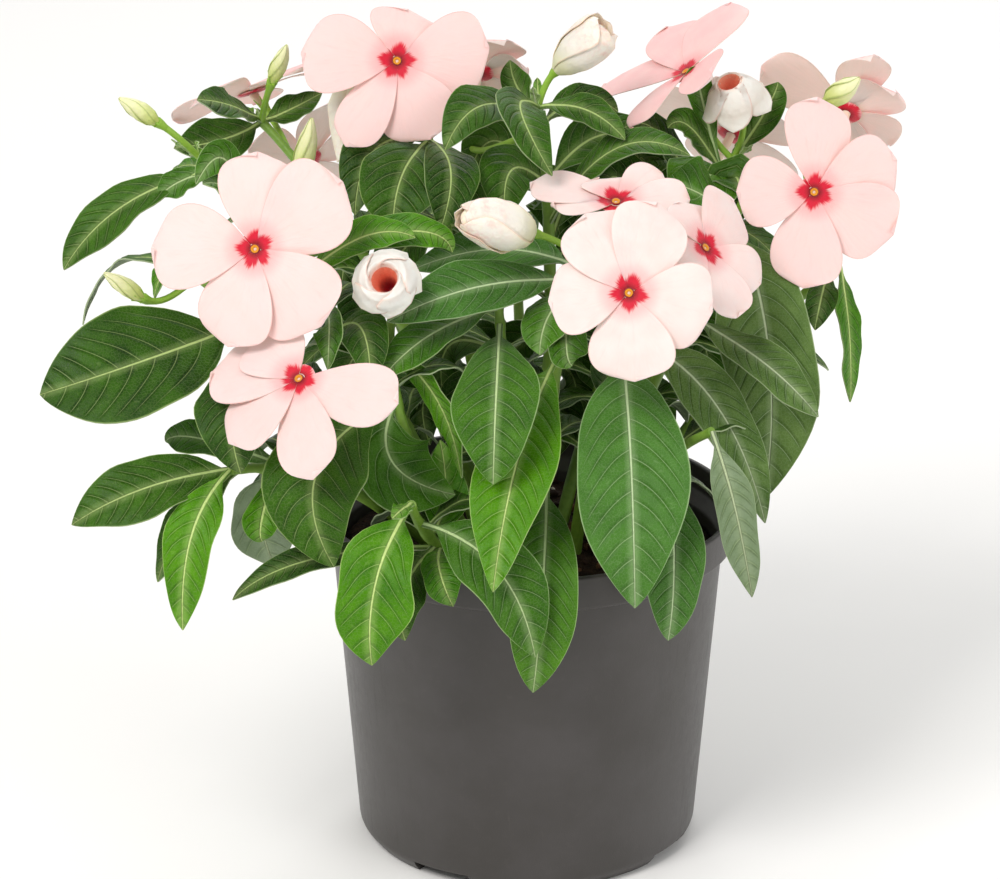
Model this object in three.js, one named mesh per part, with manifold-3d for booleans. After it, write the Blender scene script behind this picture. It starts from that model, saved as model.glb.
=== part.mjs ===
// A potted Madagascar periwinkle: blush flowers with a crimson eye on arching leafy stems, in a nursery pot.
// Millimetres, +Z up. The origin is the centre of the pot's foot, on the surface it stands on. +Y is behind.
import * as THREE from "three";
import { mergeVertices } from "three/addons/utils/BufferGeometryUtils.js";
import Module from "manifold-3d";

// Pot: a 12 cm thermoformed nursery pot with a banded rim and four drainage notches under the foot.
const POT_HEIGHT = 101;
const POT_SIDES = 32;
const RIM_RADIUS = 60;
const RIM_BAND = 10;
const RIM_LIP = 1.8;
const RIM_ROUNDING = 0.8;
const NECK_RADIUS = 56.4;
const NECK_SPLAY = 2;
const WALL = 1.6;
const WALL_FOOT_RADIUS = 49;
const FOOT_RADIUS = 46.5;
const FOOT_BEND = 3.5;
const FOOT_CHAMFER = [0.9, 1.2];
const NOTCH_HEIGHT = 3.8;
const NOTCH_WIDTH = 18;
const NOTCH_INNER_RADIUS = 30;
const FIRST_NOTCH_DEG = -121;
const NOTCH_COUNT = 4;
const DRAIN_RADIUS = 4.5;
const DRAIN_SIDES = 12;
const DRAIN_CENTRE_RADIUS = 37;

// Soil: fills the pot from the notches' ceilings to some way below the rim. Its rings carry its clods.
const SEAT_GAP = 0.3;
const SOIL_LEVEL = 88;
const SOIL_EDGE_DROP = 1.5;
const SOIL_RINGS = [44, 30, 7];
const CLOD_HEIGHT = 0.9;
const CRUMB_HEIGHT = 0.6;

// Stems, and the stalks that carry blooms and buds.
const STEM_ROOT_RADIUS = 2.2;
const STEM_TIP_RADIUS = 1.3;
const STEM_SIDES = 5;
const STEM_STEPS = 5;
const HOLE_CLEARANCE = 0.5;
const HOLE_REACH = [-0.01, 0.2];
const STALK_RADIUS = 1;
const STALK_STEPS = 3;
const STALK_PULL = 0.4;
const CALYX_RADIUS = 1.7;

// Leaf blades: a rib, a keel along it, and a gentle wave along both edges.
const BLADE_THICKNESS = 0.7;
const BLADE_STATIONS = [0, 0.14, 0.32, 0.55, 0.8, 0.98];
const BLADE_SWELL = 0.8;
const BLADE_TAPER = 0.62;
const BLADE_TIP_HALF_WIDTH = 0.6;
const BLADE_KEEL = 0.22;
const BLADE_CURL = 0.1;
const BLADE_WAVE = 0.6;
const BLADE_WAVE_SHIFT = 2.1;
const NARROW_BLADE = 12;
const PETIOLE_SHARE = 0.1;
const PETIOLE_HALF_WIDTH = 0.9;

// Leaves of a fan: the rise and reach of their middle and tip, and their width, as shares of their length.
const FAN_MIDDLE = [0.46, 0.2];
const FAN_TIP = [0.9, 0.02];
const FAN_WIDTH = 0.36;
const FAN_RISE_DEG = 70;

// Blooms: a slim tube from the calyx to the throat, and five petals as one lobed sheet. The outline of a
// petal is in shares of its reach and of half its width.
const TUBE_LENGTH = 22;
const TUBE_SIDES = 6;
const TUBE_STATIONS = [[0, 1.15], [0.5, 1.15], [0.86, 1.45], [1, 2.1]];
const THROAT_RADIUS = 2.6;
const PETAL_THICKNESS = 0.7;
const PETAL_CUP = 1.5;
const PETAL_LEAN = 0.9;
const PETAL_PARTING_DEG = 2.5;
const PETAL_NOTCH_SHARE = 0.45;
const PETAL_OUTLINE = [[0.68, -1], [0.98, -0.42], [0.98, 0.42], [0.68, 1]];
const STAR_REACH = 26;
const STAR_WIDTH = 19;

// Buds: each kind's swelling as shares of its length and of half its width. They are furrowed and twisted.
const BUD_SIDES = 10;
const BUD_FURROW = 0.88;
const BUD_TWIST = 1.3;
const BUD_PROFILES = {
  closed: [[0, 0.4], [0.18, 0.85], [0.42, 1], [0.68, 0.8], [0.88, 0.42], [1, 0.12]],
  plump: [[0, 0.25], [0.12, 0.72], [0.36, 1], [0.62, 0.96], [0.84, 0.62], [1, 0.14]],
  opening: [[0, 0.22], [0.1, 0.66], [0.35, 1], [0.62, 0.96], [0.86, 0.66], [1, 0.3]],
  half_open: [[0, 0.14], [0.35, 0.22], [0.6, 0.5], [0.84, 0.86], [1, 1], [1.04, 0.72], [0.9, 0.36]],
  spent: [[0, 0.14], [0.2, 0.7], [0.38, 1], [0.6, 0.8], [0.82, 0.5], [1, 0.3]],
};

// Looks.
const POT_LOOK = { color: "#4b4744", roughness: 0.5 };
const SOIL_LOOK = { color: "#231a14", roughness: 0.95 };
const LEAF_LOOK = { color: "#3f6e20", roughness: 0.45 };
const PETAL_LOOK = { color: "#fbdcd7", roughness: 0.6 };
const PALE_BUD_LOOK = { color: "#fbefdd", roughness: 0.55 };
const BUD_LOOKS = { closed: { color: "#d9e27a", roughness: 0.55 } };

// The view that shows the plant's front: the eye, how far it looks down, and its frame of 1000 by 879.
const VIEW_EYE = [-7.93, -1123.7, 540.9];
const VIEW_TILT_DEG = 20.54;
const VIEW_FOCAL = 4188;
const VIEW_CENTRE = [500, 439.5];

const place = (x, y, z) => new THREE.Vector3(x, y, z);

// The place that the view shows at a point of its frame, and that lies at a given depth Y in millimetres.
function seen(across, down, depth) {
  const sight = sightLine(across, down);
  return place(...VIEW_EYE).addScaledVector(sight, (depth - VIEW_EYE[1]) / sight.y);
}

function sightLine(across, down) {
  const tilt = THREE.MathUtils.degToRad(VIEW_TILT_DEG);
  const right = (across - VIEW_CENTRE[0]) / VIEW_FOCAL;
  const up = (VIEW_CENTRE[1] - down) / VIEW_FOCAL;
  return place(right, Math.cos(tilt) + up * Math.sin(tilt), up * Math.cos(tilt) - Math.sin(tilt));
}

// Stems: the root of each, the middle of its arc and its tip. A fan is leaves by a rule: the place of each
// along the stem, the way it points (azimuth) and its length.
const STEMS = {
  upper_left: { root: place(-15, 3, 84), middle: seen(338, 322, -4), tip: seen(200, 158, 6) },
  back_left: { root: place(-9, 12, 84), middle: seen(390, 300, 26), tip: seen(262, 122, 46) },
  left: { root: place(-17, -5, 84), middle: seen(372, 372, -26), tip: seen(258, 262, -14) },
  outer_left: { root: place(-23, -3, 84), middle: seen(330, 402, -24), tip: seen(196, 276, -16) },
  low_left: { root: place(-20, -12, 84), middle: seen(345, 488, -34), tip: seen(230, 470, -52) },
  front_left: { root: place(-10, -20, 84), middle: seen(440, 548, -44), tip: seen(411, 505, -66) },
  mid_left: { root: place(-12, -11, 84), middle: seen(408, 440, -40), tip: seen(392, 315, -26) },
  centre_left: { root: place(-3, 2, 84), middle: seen(506, 400, -12), tip: seen(498, 300, -16) },
  centre: { root: place(3, -6, 84), middle: seen(552, 400, -20), tip: seen(580, 255, -14) },
  right_front: { root: place(13, -8, 84), middle: seen(600, 415, -18), tip: seen(640, 312, -14) },
  low_right: { root: place(22, -8, 84), middle: seen(650, 478, -30), tip: seen(712, 432, -48) },
  right: { root: place(19, 0, 84), middle: seen(655, 380, 0), tip: seen(705, 290, -2) },
  right_up: { root: place(15, 8, 84), middle: seen(655, 360, 22), tip: seen(742, 205, 16) },
  far_right: { root: place(21, 9, 84), middle: seen(735, 370, 22), tip: seen(838, 262, 20) },
  top_right: { root: place(9, 12, 84), middle: seen(628, 320, 30), tip: seen(733, 160, 40) },
  top_centre: { root: place(2, 9, 84), middle: seen(550, 310, 22), tip: seen(538, 108, 24) },
  top_left: { root: place(-6, 8, 84), middle: seen(462, 310, 20), tip: seen(425, 125, 24) },
  back_1: {
    root: place(-14, 16, 84),
    middle: place(-34, 44, 132),
    tip: place(-56, 66, 164),
    fan: [[0.5, 215, 44], [0.55, 130, 50], [0.85, 75, 34], [0.87, 225, 40], [0.95, 180, 42]],
  },
  back_2: {
    root: place(0, 21, 84),
    middle: place(-2, 54, 132),
    tip: place(-4, 86, 162),
    fan: [[0.5, 165, 44], [0.52, 15, 44], [0.7, 95, 52], [0.9, 190, 38], [0.92, -5, 38], [1, 90, 42]],
  },
  back_3: {
    root: place(14, 17, 84),
    middle: place(34, 46, 132),
    tip: place(54, 70, 166),
    fan: [[0.5, -30, 44], [0.55, 55, 50], [0.85, 108, 34], [0.87, -45, 40], [0.95, 0, 42]],
  },
};

// Leaves of each stem: the place along it that they grow from, the middle and tip of the rib, the width, the
// way the upper face looks (azimuth and elevation in degrees), and the share of the rib that is bare stalk.
const LEAVES = {
  upper_left: [
    {
      at: 0.95,
      middle: seen(124, 206, 0),
      tip: seen(64, 270, -8),
      width: 15,
      faces: [-105, 52],
      stalk: 0.16,
    },
    { at: 0.85, middle: seen(222, 158, -2), tip: seen(196, 184, -10), width: 10, faces: [-75, 20] },
  ],
  back_left: [
    { at: 1, middle: seen(222, 140, 38), tip: seen(174, 148, 28), width: 15, faces: [-95, 38] },
    { at: 1, middle: seen(290, 110, 50), tip: seen(322, 93, 54), width: 9, faces: [-90, 50] },
    { at: 1, middle: seen(230, 106, 32), tip: seen(197, 100, 24), width: 12, faces: [-90, 50] },
  ],
  left: [
    { at: 0.95, middle: seen(400, 232, -24), tip: seen(452, 252, -26), width: 10, faces: [-90, 45] },
    { at: 0.85, middle: seen(362, 238, -28), tip: seen(415, 238, -32), width: 11, faces: [-90, 50] },
    { at: 0.65, middle: seen(362, 330, -40), tip: seen(370, 382, -48), width: 14, faces: [-80, 30] },
    { at: 0.7, middle: seen(330, 325, -44), tip: seen(328, 370, -50), width: 9, faces: [-120, 20] },
  ],
  outer_left: [
    { at: 1, middle: seen(124, 262, -10), tip: seen(83, 325, -14), width: 11, faces: [165, 38] },
    {
      at: 0.8,
      middle: seen(142, 362, -42),
      tip: seen(40, 395, -48),
      width: 34,
      faces: [-95, 42],
      stalk: 0.12,
    },
    { at: 0.75, middle: seen(234, 400, -56), tip: seen(241, 473, -66), width: 21, faces: [-110, 15] },
  ],
  low_left: [
    { at: 0.7, middle: seen(205, 440, -30), tip: seen(166, 442, -26), width: 11, faces: [-90, 50] },
    { at: 0.95, middle: seen(150, 487, -62), tip: seen(72, 525, -66), width: 18.5, faces: [-95, 45] },
    { at: 0.95, middle: seen(188, 520, -56), tip: seen(158, 582, -58), width: 13, faces: [-140, 20] },
    { at: 1, middle: seen(192, 535, -70), tip: seen(183, 630, -74), width: 14, faces: [-100, 10] },
    { at: 0.85, middle: seen(262, 522, -46), tip: seen(275, 566, -44), width: 19, faces: [80, -10] },
  ],
  front_left: [
    { at: 1, middle: seen(376, 582, -82), tip: seen(372, 665, -84), width: 22, faces: [-98, 12] },
    { at: 0.5, middle: seen(312, 560, -64), tip: seen(233, 600, -68), width: 9, faces: [-60, 60] },
    { at: 0.55, middle: seen(404, 590, -68), tip: seen(405, 640, -70), width: 12, faces: [-80, 10] },
    { at: 0.5, middle: seen(440, 572, -68), tip: seen(453, 606, -70), width: 11, faces: [-90, 15] },
    { at: 0.8, middle: seen(496, 568, -75), tip: seen(535, 657, -77), width: 20, faces: [-75, 25] },
    { at: 0.65, middle: seen(445, 500, -43), tip: seen(440, 440, -36), width: 12, faces: [-90, 20] },
  ],
  mid_left: [
    { at: 0.65, middle: seen(318, 470, -66), tip: seen(334, 567, -72), width: 27, faces: [-100, 22] },
    { at: 0.65, middle: seen(392, 462, -49), tip: seen(455, 495, -49), width: 24, faces: [-85, 42] },
    { at: 0.85, middle: seen(438, 400, -38), tip: seen(462, 478, -42), width: 9, faces: [-150, 30] },
  ],
  centre_left: [
    { at: 0.85, middle: seen(496, 398, -56), tip: seen(493, 484, -70), width: 23, faces: [-92, 22] },
    { at: 0.95, middle: seen(430, 336, -34), tip: seen(382, 380, -44), width: 13, faces: [-110, 45] },
  ],
  centre: [
    { at: 0.65, middle: seen(519, 456, -58), tip: seen(493, 592, -85), width: 21, faces: [-100, 25] },
    {
      at: 0.35,
      middle: seen(544, 572, -66),
      tip: seen(533, 692, -70),
      width: 20,
      faces: [-88, 15],
      stalk: 0.2,
    },
    { at: 0.9, middle: seen(480, 287, -34), tip: seen(388, 322, -42), width: 17, faces: [-95, 45] },
    { at: 0.85, middle: seen(548, 318, -32), tip: seen(540, 355, -40), width: 14, faces: [-110, 25] },
    { at: 0.9, middle: seen(566, 340, -36), tip: seen(572, 366, -42), width: 12, faces: [-80, 30] },
    { at: 0.95, middle: seen(500, 250, 2), tip: seen(412, 270, 4), width: 17, faces: [-90, 55] },
  ],
  right_front: [
    { at: 0.8, middle: seen(631, 462, -56), tip: seen(635, 608, -74), width: 31, faces: [-92, 15] },
    { at: 0.85, middle: seen(712, 400, -30), tip: seen(765, 523, -38), width: 17, faces: [-70, 45] },
  ],
  low_right: [
    { at: 0.65, middle: seen(674, 556, -62), tip: seen(668, 640, -66), width: 17, faces: [-80, 15] },
    { at: 1, middle: seen(728, 520, -56), tip: seen(751, 597, -52), width: 13, faces: [100, 10] },
  ],
  right: [
    { at: 0.8, middle: seen(762, 362, -26), tip: seen(818, 417, -34), width: 13, faces: [-80, 50] },
  ],
  right_up: [
    { at: 0.95, middle: seen(768, 345, -10), tip: seen(765, 498, -18), width: 28, faces: [-85, 15] },
    { at: 0.95, middle: seen(702, 196, 10), tip: seen(665, 182, 10), width: 24, faces: [-90, 60] },
  ],
  far_right: [
    { at: 1, middle: seen(848, 325, 12), tip: seen(850, 402, 8), width: 10, faces: [-40, 20] },
    { at: 0.95, middle: seen(822, 295, 6), tip: seen(815, 330, 2), width: 9, faces: [-90, 20] },
  ],
  top_right: [
    { at: 0.85, middle: seen(660, 135, 35), tip: seen(625, 128, 33), width: 11, faces: [-90, 60] },
    { at: 0.95, middle: seen(690, 128, 32), tip: seen(668, 128, 28), width: 10, faces: [-90, 50] },
    { at: 1, middle: seen(765, 112, 44), tip: seen(778, 82, 46), width: 10, faces: [-90, 20] },
  ],
  top_centre: [
    { at: 0.7, middle: seen(615, 150, 10), tip: seen(690, 156, 6), width: 12, faces: [-90, 60] },
    { at: 0.95, middle: seen(485, 105, 8), tip: seen(445, 150, -2), width: 15, faces: [-90, 50] },
    { at: 1, middle: seen(520, 110, 0), tip: seen(552, 176, -12), width: 15, faces: [-60, 45] },
    { at: 1, middle: seen(518, 88, 34), tip: seen(510, 60, 38), width: 9, faces: [-90, 0] },
    { at: 1, middle: seen(585, 110, 16), tip: seen(625, 140, 8), width: 10, faces: [-90, 50] },
    { at: 0.95, middle: seen(580, 100, 34), tip: seen(618, 112, 36), width: 10, faces: [-90, 40] },
    { at: 0.8, middle: seen(512, 170, 8), tip: seen(505, 220, 2), width: 17, faces: [-90, 30] },
  ],
  top_left: [
    { at: 0.95, middle: seen(402, 176, 2), tip: seen(393, 230, -6), width: 24, faces: [-95, 35] },
    { at: 0.95, middle: seen(450, 170, 0), tip: seen(440, 230, -8), width: 16, faces: [-70, 35] },
    { at: 0.95, middle: seen(375, 150, 16), tip: seen(355, 215, 6), width: 16, faces: [-100, 35] },
  ],
};

// Blooms: the mouth of the tube, the way the bloom looks (azimuth and elevation), and where the view shows
// the tips of its petals, with the width of each. A bloom with no tips is an even star.
const BLOOMS = [
  {
    name: "bloom_left",
    on: "left",
    at: 1,
    throat: seen(255, 249, -44),
    faces: [-98, 22],
    tips: [[265, 152, 20], [338, 178, 24], [322, 328, 23], [222, 345, 20], [152, 255, 22]],
  },
  {
    name: "bloom_low_left",
    on: "mid_left",
    at: 0.7,
    throat: seen(299, 379, -62),
    faces: [-118, 48],
    tips: [[262, 338, 18], [212, 372, 19], [225, 440, 18], [308, 482, 16], [396, 412, 17]],
  },
  {
    name: "bloom_top_left",
    on: "top_left",
    at: 1,
    throat: seen(397, 61, 22),
    faces: [-90, 28],
    tips: [[302, 44, 24], [400, 2, 20], [482, 28, 25], [420, 142, 24], [344, 146, 17]],
  },
  {
    name: "bloom_centre_right",
    on: "right_front",
    at: 1,
    throat: seen(629, 293, -46),
    faces: [-95, 28],
    tips: [[588, 212, 20], [665, 205, 20], [712, 315, 22], [630, 382, 22], [548, 300, 19]],
  },
  {
    name: "bloom_slanting",
    on: "right",
    at: 1,
    throat: seen(705, 248, -26),
    faces: [-40, 40],
    tips: [[680, 200, 17], [735, 205, 18], [757, 290, 17], [735, 318, 14], [672, 262, 16]],
  },
  {
    name: "bloom_flat",
    on: "centre",
    at: 1,
    throat: seen(616, 202, -12),
    faces: [-90, 66],
    tips: [[532, 180, 15], [550, 205, 13], [600, 178, 13], [665, 180, 15], [690, 205, 15]],
  },
  {
    name: "bloom_right",
    on: "far_right",
    at: 1,
    throat: seen(814, 192, 8),
    faces: [-85, 22],
    tips: [[822, 97, 18], [736, 190, 19], [798, 288, 19], [892, 238, 21], [898, 165, 19]],
  },
  {
    name: "bloom_top_right",
    on: "top_right",
    at: 1,
    calyx: place(51, 40, 203),
    throat: seen(686, 72, 38),
    faces: [-168, 55],
    tips: [[737, 3, 19], [676, 24, 17], [606, 84, 18], [628, 128, 16], [712, 78, 16]],
  },
  {
    name: "bloom_back_left",
    on: "back_left",
    at: 0.9,
    calyx: place(-76, 56, 201),
    throat: seen(252, 92, 62),
    faces: [130, 62],
  },
  {
    name: "bloom_back_right",
    on: "far_right",
    at: 0.97,
    throat: seen(846, 112, 54),
    faces: [75, 32],
    tips: [[868, 55, 14], [893, 92, 17], [893, 145, 17], [840, 150, 15], [757, 74, 19]],
  },
  {
    name: "bloom_behind_top_left",
    on: "top_centre",
    at: 0.95,
    throat: seen(478, 72, 62),
    faces: [80, 40],
    tips: [[528, 72, 17], [505, 40, 16], [440, 40, 16], [440, 100, 16], [505, 110, 16]],
  },
  { name: "bloom_back_1", on: "back_1", at: 1, throat: place(-66, 90, 176), faces: [125, 30] },
  { name: "bloom_back_2", on: "back_3", at: 1, throat: place(62, 92, 184), faces: [60, 35] },
];

// Buds, from closed spindles to half-open ones: the base of each, its tip and its width.
const BUDS = [
  {
    name: "bud_1",
    on: "upper_left",
    at: 1,
    kind: "closed",
    base: seen(157, 122, 0),
    tip: seen(119, 98, -4),
    width: 5.5,
  },
  {
    name: "bud_2",
    on: "back_left",
    at: 1,
    kind: "closed",
    base: seen(272, 82, 34),
    tip: seen(287, 45, 30),
    width: 5,
  },
  {
    name: "bud_3",
    on: "back_left",
    at: 0.85,
    kind: "closed",
    base: seen(300, 180, 22),
    tip: seen(312, 118, 20),
    width: 6.5,
  },
  {
    name: "bud_4",
    on: "outer_left",
    at: 1,
    kind: "closed",
    base: seen(143, 298, -26),
    tip: seen(104, 273, -30),
    width: 5,
  },
  {
    name: "bud_5",
    on: "top_centre",
    at: 1,
    kind: "plump",
    base: seen(556, 71, 24),
    tip: seen(607, 25, 22),
    width: 13.5,
  },
  {
    name: "bud_6",
    on: "centre",
    at: 1,
    kind: "opening",
    base: seen(533, 233, -24),
    tip: seen(460, 216, -36),
    width: 15,
  },
  {
    name: "bud_7",
    on: "mid_left",
    at: 1,
    kind: "half_open",
    base: seen(398, 300, -30),
    tip: seen(383, 278, -46),
    width: 18.5,
  },
  {
    name: "bud_8",
    on: "top_right",
    at: 1,
    kind: "half_open",
    base: seen(742, 118, 38),
    tip: seen(729, 82, 32),
    width: 18.5,
  },
  {
    name: "bud_9",
    on: "far_right",
    at: 1,
    kind: "closed",
    base: seen(826, 103, 36),
    tip: seen(860, 78, 34),
    width: 7,
  },
  {
    name: "bloom_spent",
    on: "top_left",
    at: 1,
    kind: "spent",
    base: place(-52, 36, 218),
    tip: place(-53, 22, 196),
    width: 10,
  },
];

// Vectors and curves

function direction(azimuthDeg, elevationDeg) {
  const azimuth = THREE.MathUtils.degToRad(azimuthDeg);
  const elevation = THREE.MathUtils.degToRad(elevationDeg);
  return new THREE.Vector3(
    Math.cos(azimuth) * Math.cos(elevation),
    Math.sin(azimuth) * Math.cos(elevation),
    Math.sin(elevation),
  );
}

// A bow is a smooth arc from a start, through a middle at its half way, to an end.
class Bow {
  constructor(start, middle, end) {
    const pull = middle.clone().multiplyScalar(2).addScaledVector(start, -0.5).addScaledVector(end, -0.5);
    this.curve = new THREE.QuadraticBezierCurve3(start, pull, end);
  }

  point(t) {
    return this.curve.getPoint(t);
  }

  tangent(t) {
    const { v0, v1, v2 } = this.curve;
    const slope = v1.clone().sub(v0).multiplyScalar(1 - t).addScaledVector(v2.clone().sub(v1), t);
    return slope.normalize();
  }
}

// Solids

// Skins a list of rings, each with the same number of points, into one closed surface with a cap on each end.
// The quads of the second half of each ring are split the other way, so that the two faces of a blade match.
function skin(rings) {
  const size = rings[0].length;
  const positions = rings.flat().flatMap((p) => [p.x, p.y, p.z]);
  const faces = [];
  for (let i = 0; i + 1 < rings.length; i++) {
    for (let k = 0; k < size; k++) {
      const next = (k + 1) % size;
      const a = i * size + k;
      const b = i * size + next;
      const c = a + size;
      const d = b + size;
      if (k < size / 2) faces.push(a, b, d, a, d, c);
      else faces.push(a, b, c, b, d, c);
    }
  }
  const last = (rings.length - 1) * size;
  for (let k = 0; 2 * k + 2 < size; k++) {
    const [a, b, c, d] = [k, k + 1, size - 2 - k, size - 1 - k];
    faces.push(a, d, b);
    faces.push(last + a, last + b, last + d);
    if (b !== c) {
      faces.push(b, d, c);
      faces.push(last + b, last + c, last + d);
    }
  }
  const geometry = new THREE.BufferGeometry();
  geometry.setAttribute("position", new THREE.Float32BufferAttribute(positions, 3));
  geometry.setIndex(faces);
  return solidOf(geometry);
}

const library = await Module();
library.setup();

// A closed geometry as a solid, turned inside out first if its faces point inwards.
function solidOf(geometry) {
  const bare = new THREE.BufferGeometry();
  bare.setAttribute("position", geometry.getAttribute("position"));
  bare.setIndex(geometry.index);
  const merged = mergeVertices(bare, 1e-4);
  const corners = new Uint32Array(merged.index.array);
  const make = () => new library.Manifold(
    new library.Mesh({ numProp: 3, vertProperties: merged.attributes.position.array, triVerts: corners }),
  );
  const made = make();
  if (made.volume() > 0) return made;
  for (let i = 0; i < corners.length; i += 3) {
    [corners[i], corners[i + 1]] = [corners[i + 1], corners[i]];
  }
  return make();
}

const joined = (solids) => solids.reduce((whole, piece) => whole.add(piece));

function geometryOf(solid) {
  const { numProp, vertProperties, triVerts } = solid.getMesh();
  const positions = [];
  for (let i = 0; i < vertProperties.length; i += numProp) {
    positions.push(vertProperties[i], vertProperties[i + 1], vertProperties[i + 2]);
  }
  const geometry = new THREE.BufferGeometry();
  geometry.setAttribute("position", new THREE.Float32BufferAttribute(positions, 3));
  geometry.setIndex([...triVerts]);
  geometry.computeVertexNormals();
  return geometry;
}

// A round ring across an axis, with the radius of each corner from a function of its number.
function ringAcross(centre, axis, aside, sides, radiusAt, turn = 0) {
  const across = aside.clone().addScaledVector(axis, -aside.dot(axis)).normalize();
  const up = axis.clone().cross(across);
  return Array.from({ length: sides }, (_, k) => {
    const angle = (2 * Math.PI * k) / sides + turn;
    const radius = radiusAt(k);
    return centre
      .clone()
      .addScaledVector(across, radius * Math.cos(angle))
      .addScaledVector(up, radius * Math.sin(angle));
  });
}

// A direction well away from an axis, to turn its rings from.
const besideOf = (axis) => (Math.abs(axis.x) < 0.8 ? place(1, 0, 0) : place(0, 1, 0));

// A tapering tube along a bow.
function tube(bow, from, to, startRadius, endRadius, steps, sides) {
  const rings = [];
  const aside = besideOf(bow.tangent((from + to) / 2));
  for (let i = 0; i <= steps; i++) {
    const t = from + ((to - from) * i) / steps;
    const radius = startRadius + ((endRadius - startRadius) * i) / steps;
    rings.push(ringAcross(bow.point(t), bow.tangent(t), aside, sides, () => radius));
  }
  return skin(rings);
}

// Pot and soil

const WALL_SLOPE = (NECK_RADIUS - WALL_FOOT_RADIUS) / (POT_HEIGHT - RIM_BAND);
const wallRadius = (z) => WALL_FOOT_RADIUS + WALL_SLOPE * z;

function lathe(profile) {
  const points = profile.map(([radius, z]) => new THREE.Vector2(radius, z));
  const geometry = new THREE.LatheGeometry(points, POT_SIDES);
  geometry.rotateX(Math.PI / 2);
  return solidOf(geometry);
}

// The outside of the foot: a chamfer and a bend below the wall.
const footOutline = () => [
  [wallRadius(FOOT_BEND), FOOT_BEND],
  [wallRadius(FOOT_BEND) - FOOT_CHAMFER[0], FOOT_CHAMFER[1]],
  [FOOT_RADIUS, 0],
  [0, 0],
];

function potWall() {
  const neck = POT_HEIGHT - RIM_BAND;
  const lipInside = RIM_RADIUS - RIM_LIP;
  return lathe([
    [0, WALL],
    [wallRadius(WALL) - WALL, WALL],
    [NECK_RADIUS - WALL, neck - NECK_SPLAY / 2],
    [lipInside, neck + NECK_SPLAY],
    [lipInside, POT_HEIGHT - RIM_ROUNDING / 2],
    [lipInside + RIM_ROUNDING / 2, POT_HEIGHT],
    [RIM_RADIUS - RIM_ROUNDING, POT_HEIGHT],
    [RIM_RADIUS, POT_HEIGHT - RIM_ROUNDING],
    [RIM_RADIUS, neck + RIM_ROUNDING],
    [RIM_RADIUS - RIM_ROUNDING, neck],
    [NECK_RADIUS, neck],
    ...footOutline(),
  ]);
}

// A box along a spoke of the pot.
function spokeBox(inner, outer, width, bottom, top, angle) {
  const box = new THREE.BoxGeometry(outer - inner, width, top - bottom);
  box.translate((inner + outer) / 2, 0, (bottom + top) / 2);
  box.rotateZ(angle);
  return solidOf(box);
}

// The pot stands on its flat base. Each notch is a pocket pressed up into the base from its edge, with a
// drain hole in its ceiling.
function potSolid() {
  const ceiling = NOTCH_HEIGHT + WALL;
  const withinWall = lathe([
    [0, ceiling],
    [wallRadius(ceiling) - WALL / 2, ceiling],
    [FOOT_RADIUS - WALL / 2, WALL / 2],
    [0, WALL / 2],
  ]);
  let pot = potWall();
  for (let k = 0; k < NOTCH_COUNT; k++) {
    const angle = THREE.MathUtils.degToRad(FIRST_NOTCH_DEG + (360 * k) / NOTCH_COUNT);
    const boss = NOTCH_WIDTH + 2 * WALL;
    const pocket = spokeBox(NOTCH_INNER_RADIUS - WALL, RIM_RADIUS, boss, 0, 2 * ceiling, angle);
    const notch = spokeBox(NOTCH_INNER_RADIUS, RIM_RADIUS, NOTCH_WIDTH, -NOTCH_HEIGHT, NOTCH_HEIGHT, angle);
    const drain = new THREE.CylinderGeometry(DRAIN_RADIUS, DRAIN_RADIUS, 2 * ceiling, DRAIN_SIDES);
    drain.rotateX(Math.PI / 2);
    drain.translate(DRAIN_CENTRE_RADIUS, 0, ceiling);
    drain.rotateZ(angle);
    pot = pot.add(pocket.intersect(withinWall)).subtract(notch).subtract(solidOf(drain));
  }
  return pot;
}

// How high the clods and crumbs of the soil's surface stand at a place.
function clods(x, y) {
  const clod = Math.sin(0.31 * x + 1) * Math.cos(0.27 * y);
  const crumb = Math.sin(0.52 * x - 0.43 * y) * Math.cos(0.2 * x);
  return CLOD_HEIGHT * clod + CRUMB_HEIGHT * crumb;
}

function soilSolid(holes) {
  const floor = NOTCH_HEIGHT + WALL + SEAT_GAP;
  const edge = SOIL_LEVEL - SOIL_EDGE_DROP;
  const inside = (z) => wallRadius(z) - WALL - 1.5 * SEAT_GAP;
  const surface = SOIL_RINGS.map((radius) => [radius, SOIL_LEVEL, 1]);
  const levels = [[inside(floor), floor, 0], [inside(edge), edge, 0], ...surface];
  const rings = levels.map(([radius, z, rough]) =>
    Array.from({ length: POT_SIDES }, (_, k) => {
      const angle = (2 * Math.PI * k) / POT_SIDES + Math.PI / 2;
      const x = radius * Math.cos(angle);
      const y = radius * Math.sin(angle);
      return place(x, y, z + rough * clods(x, y));
    }),
  );
  return holes.reduce((soil, hole) => soil.subtract(hole), skin(rings));
}

// Stems and leaves

const stemBow = ({ root, middle, tip }) => new Bow(root, middle, tip);
const bows = Object.fromEntries(Object.entries(STEMS).map(([name, stem]) => [name, stemBow(stem)]));

function stemSolid(name) {
  return tube(bows[name], 0, 1, STEM_ROOT_RADIUS, STEM_TIP_RADIUS, STEM_STEPS, STEM_SIDES);
}

// A plain hole in the soil that follows the stem's foot with a little room round it.
function stemHole(name) {
  const wide = STEM_ROOT_RADIUS + HOLE_CLEARANCE;
  return tube(bows[name], ...HOLE_REACH, wide, wide, 1, STEM_SIDES);
}

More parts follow.
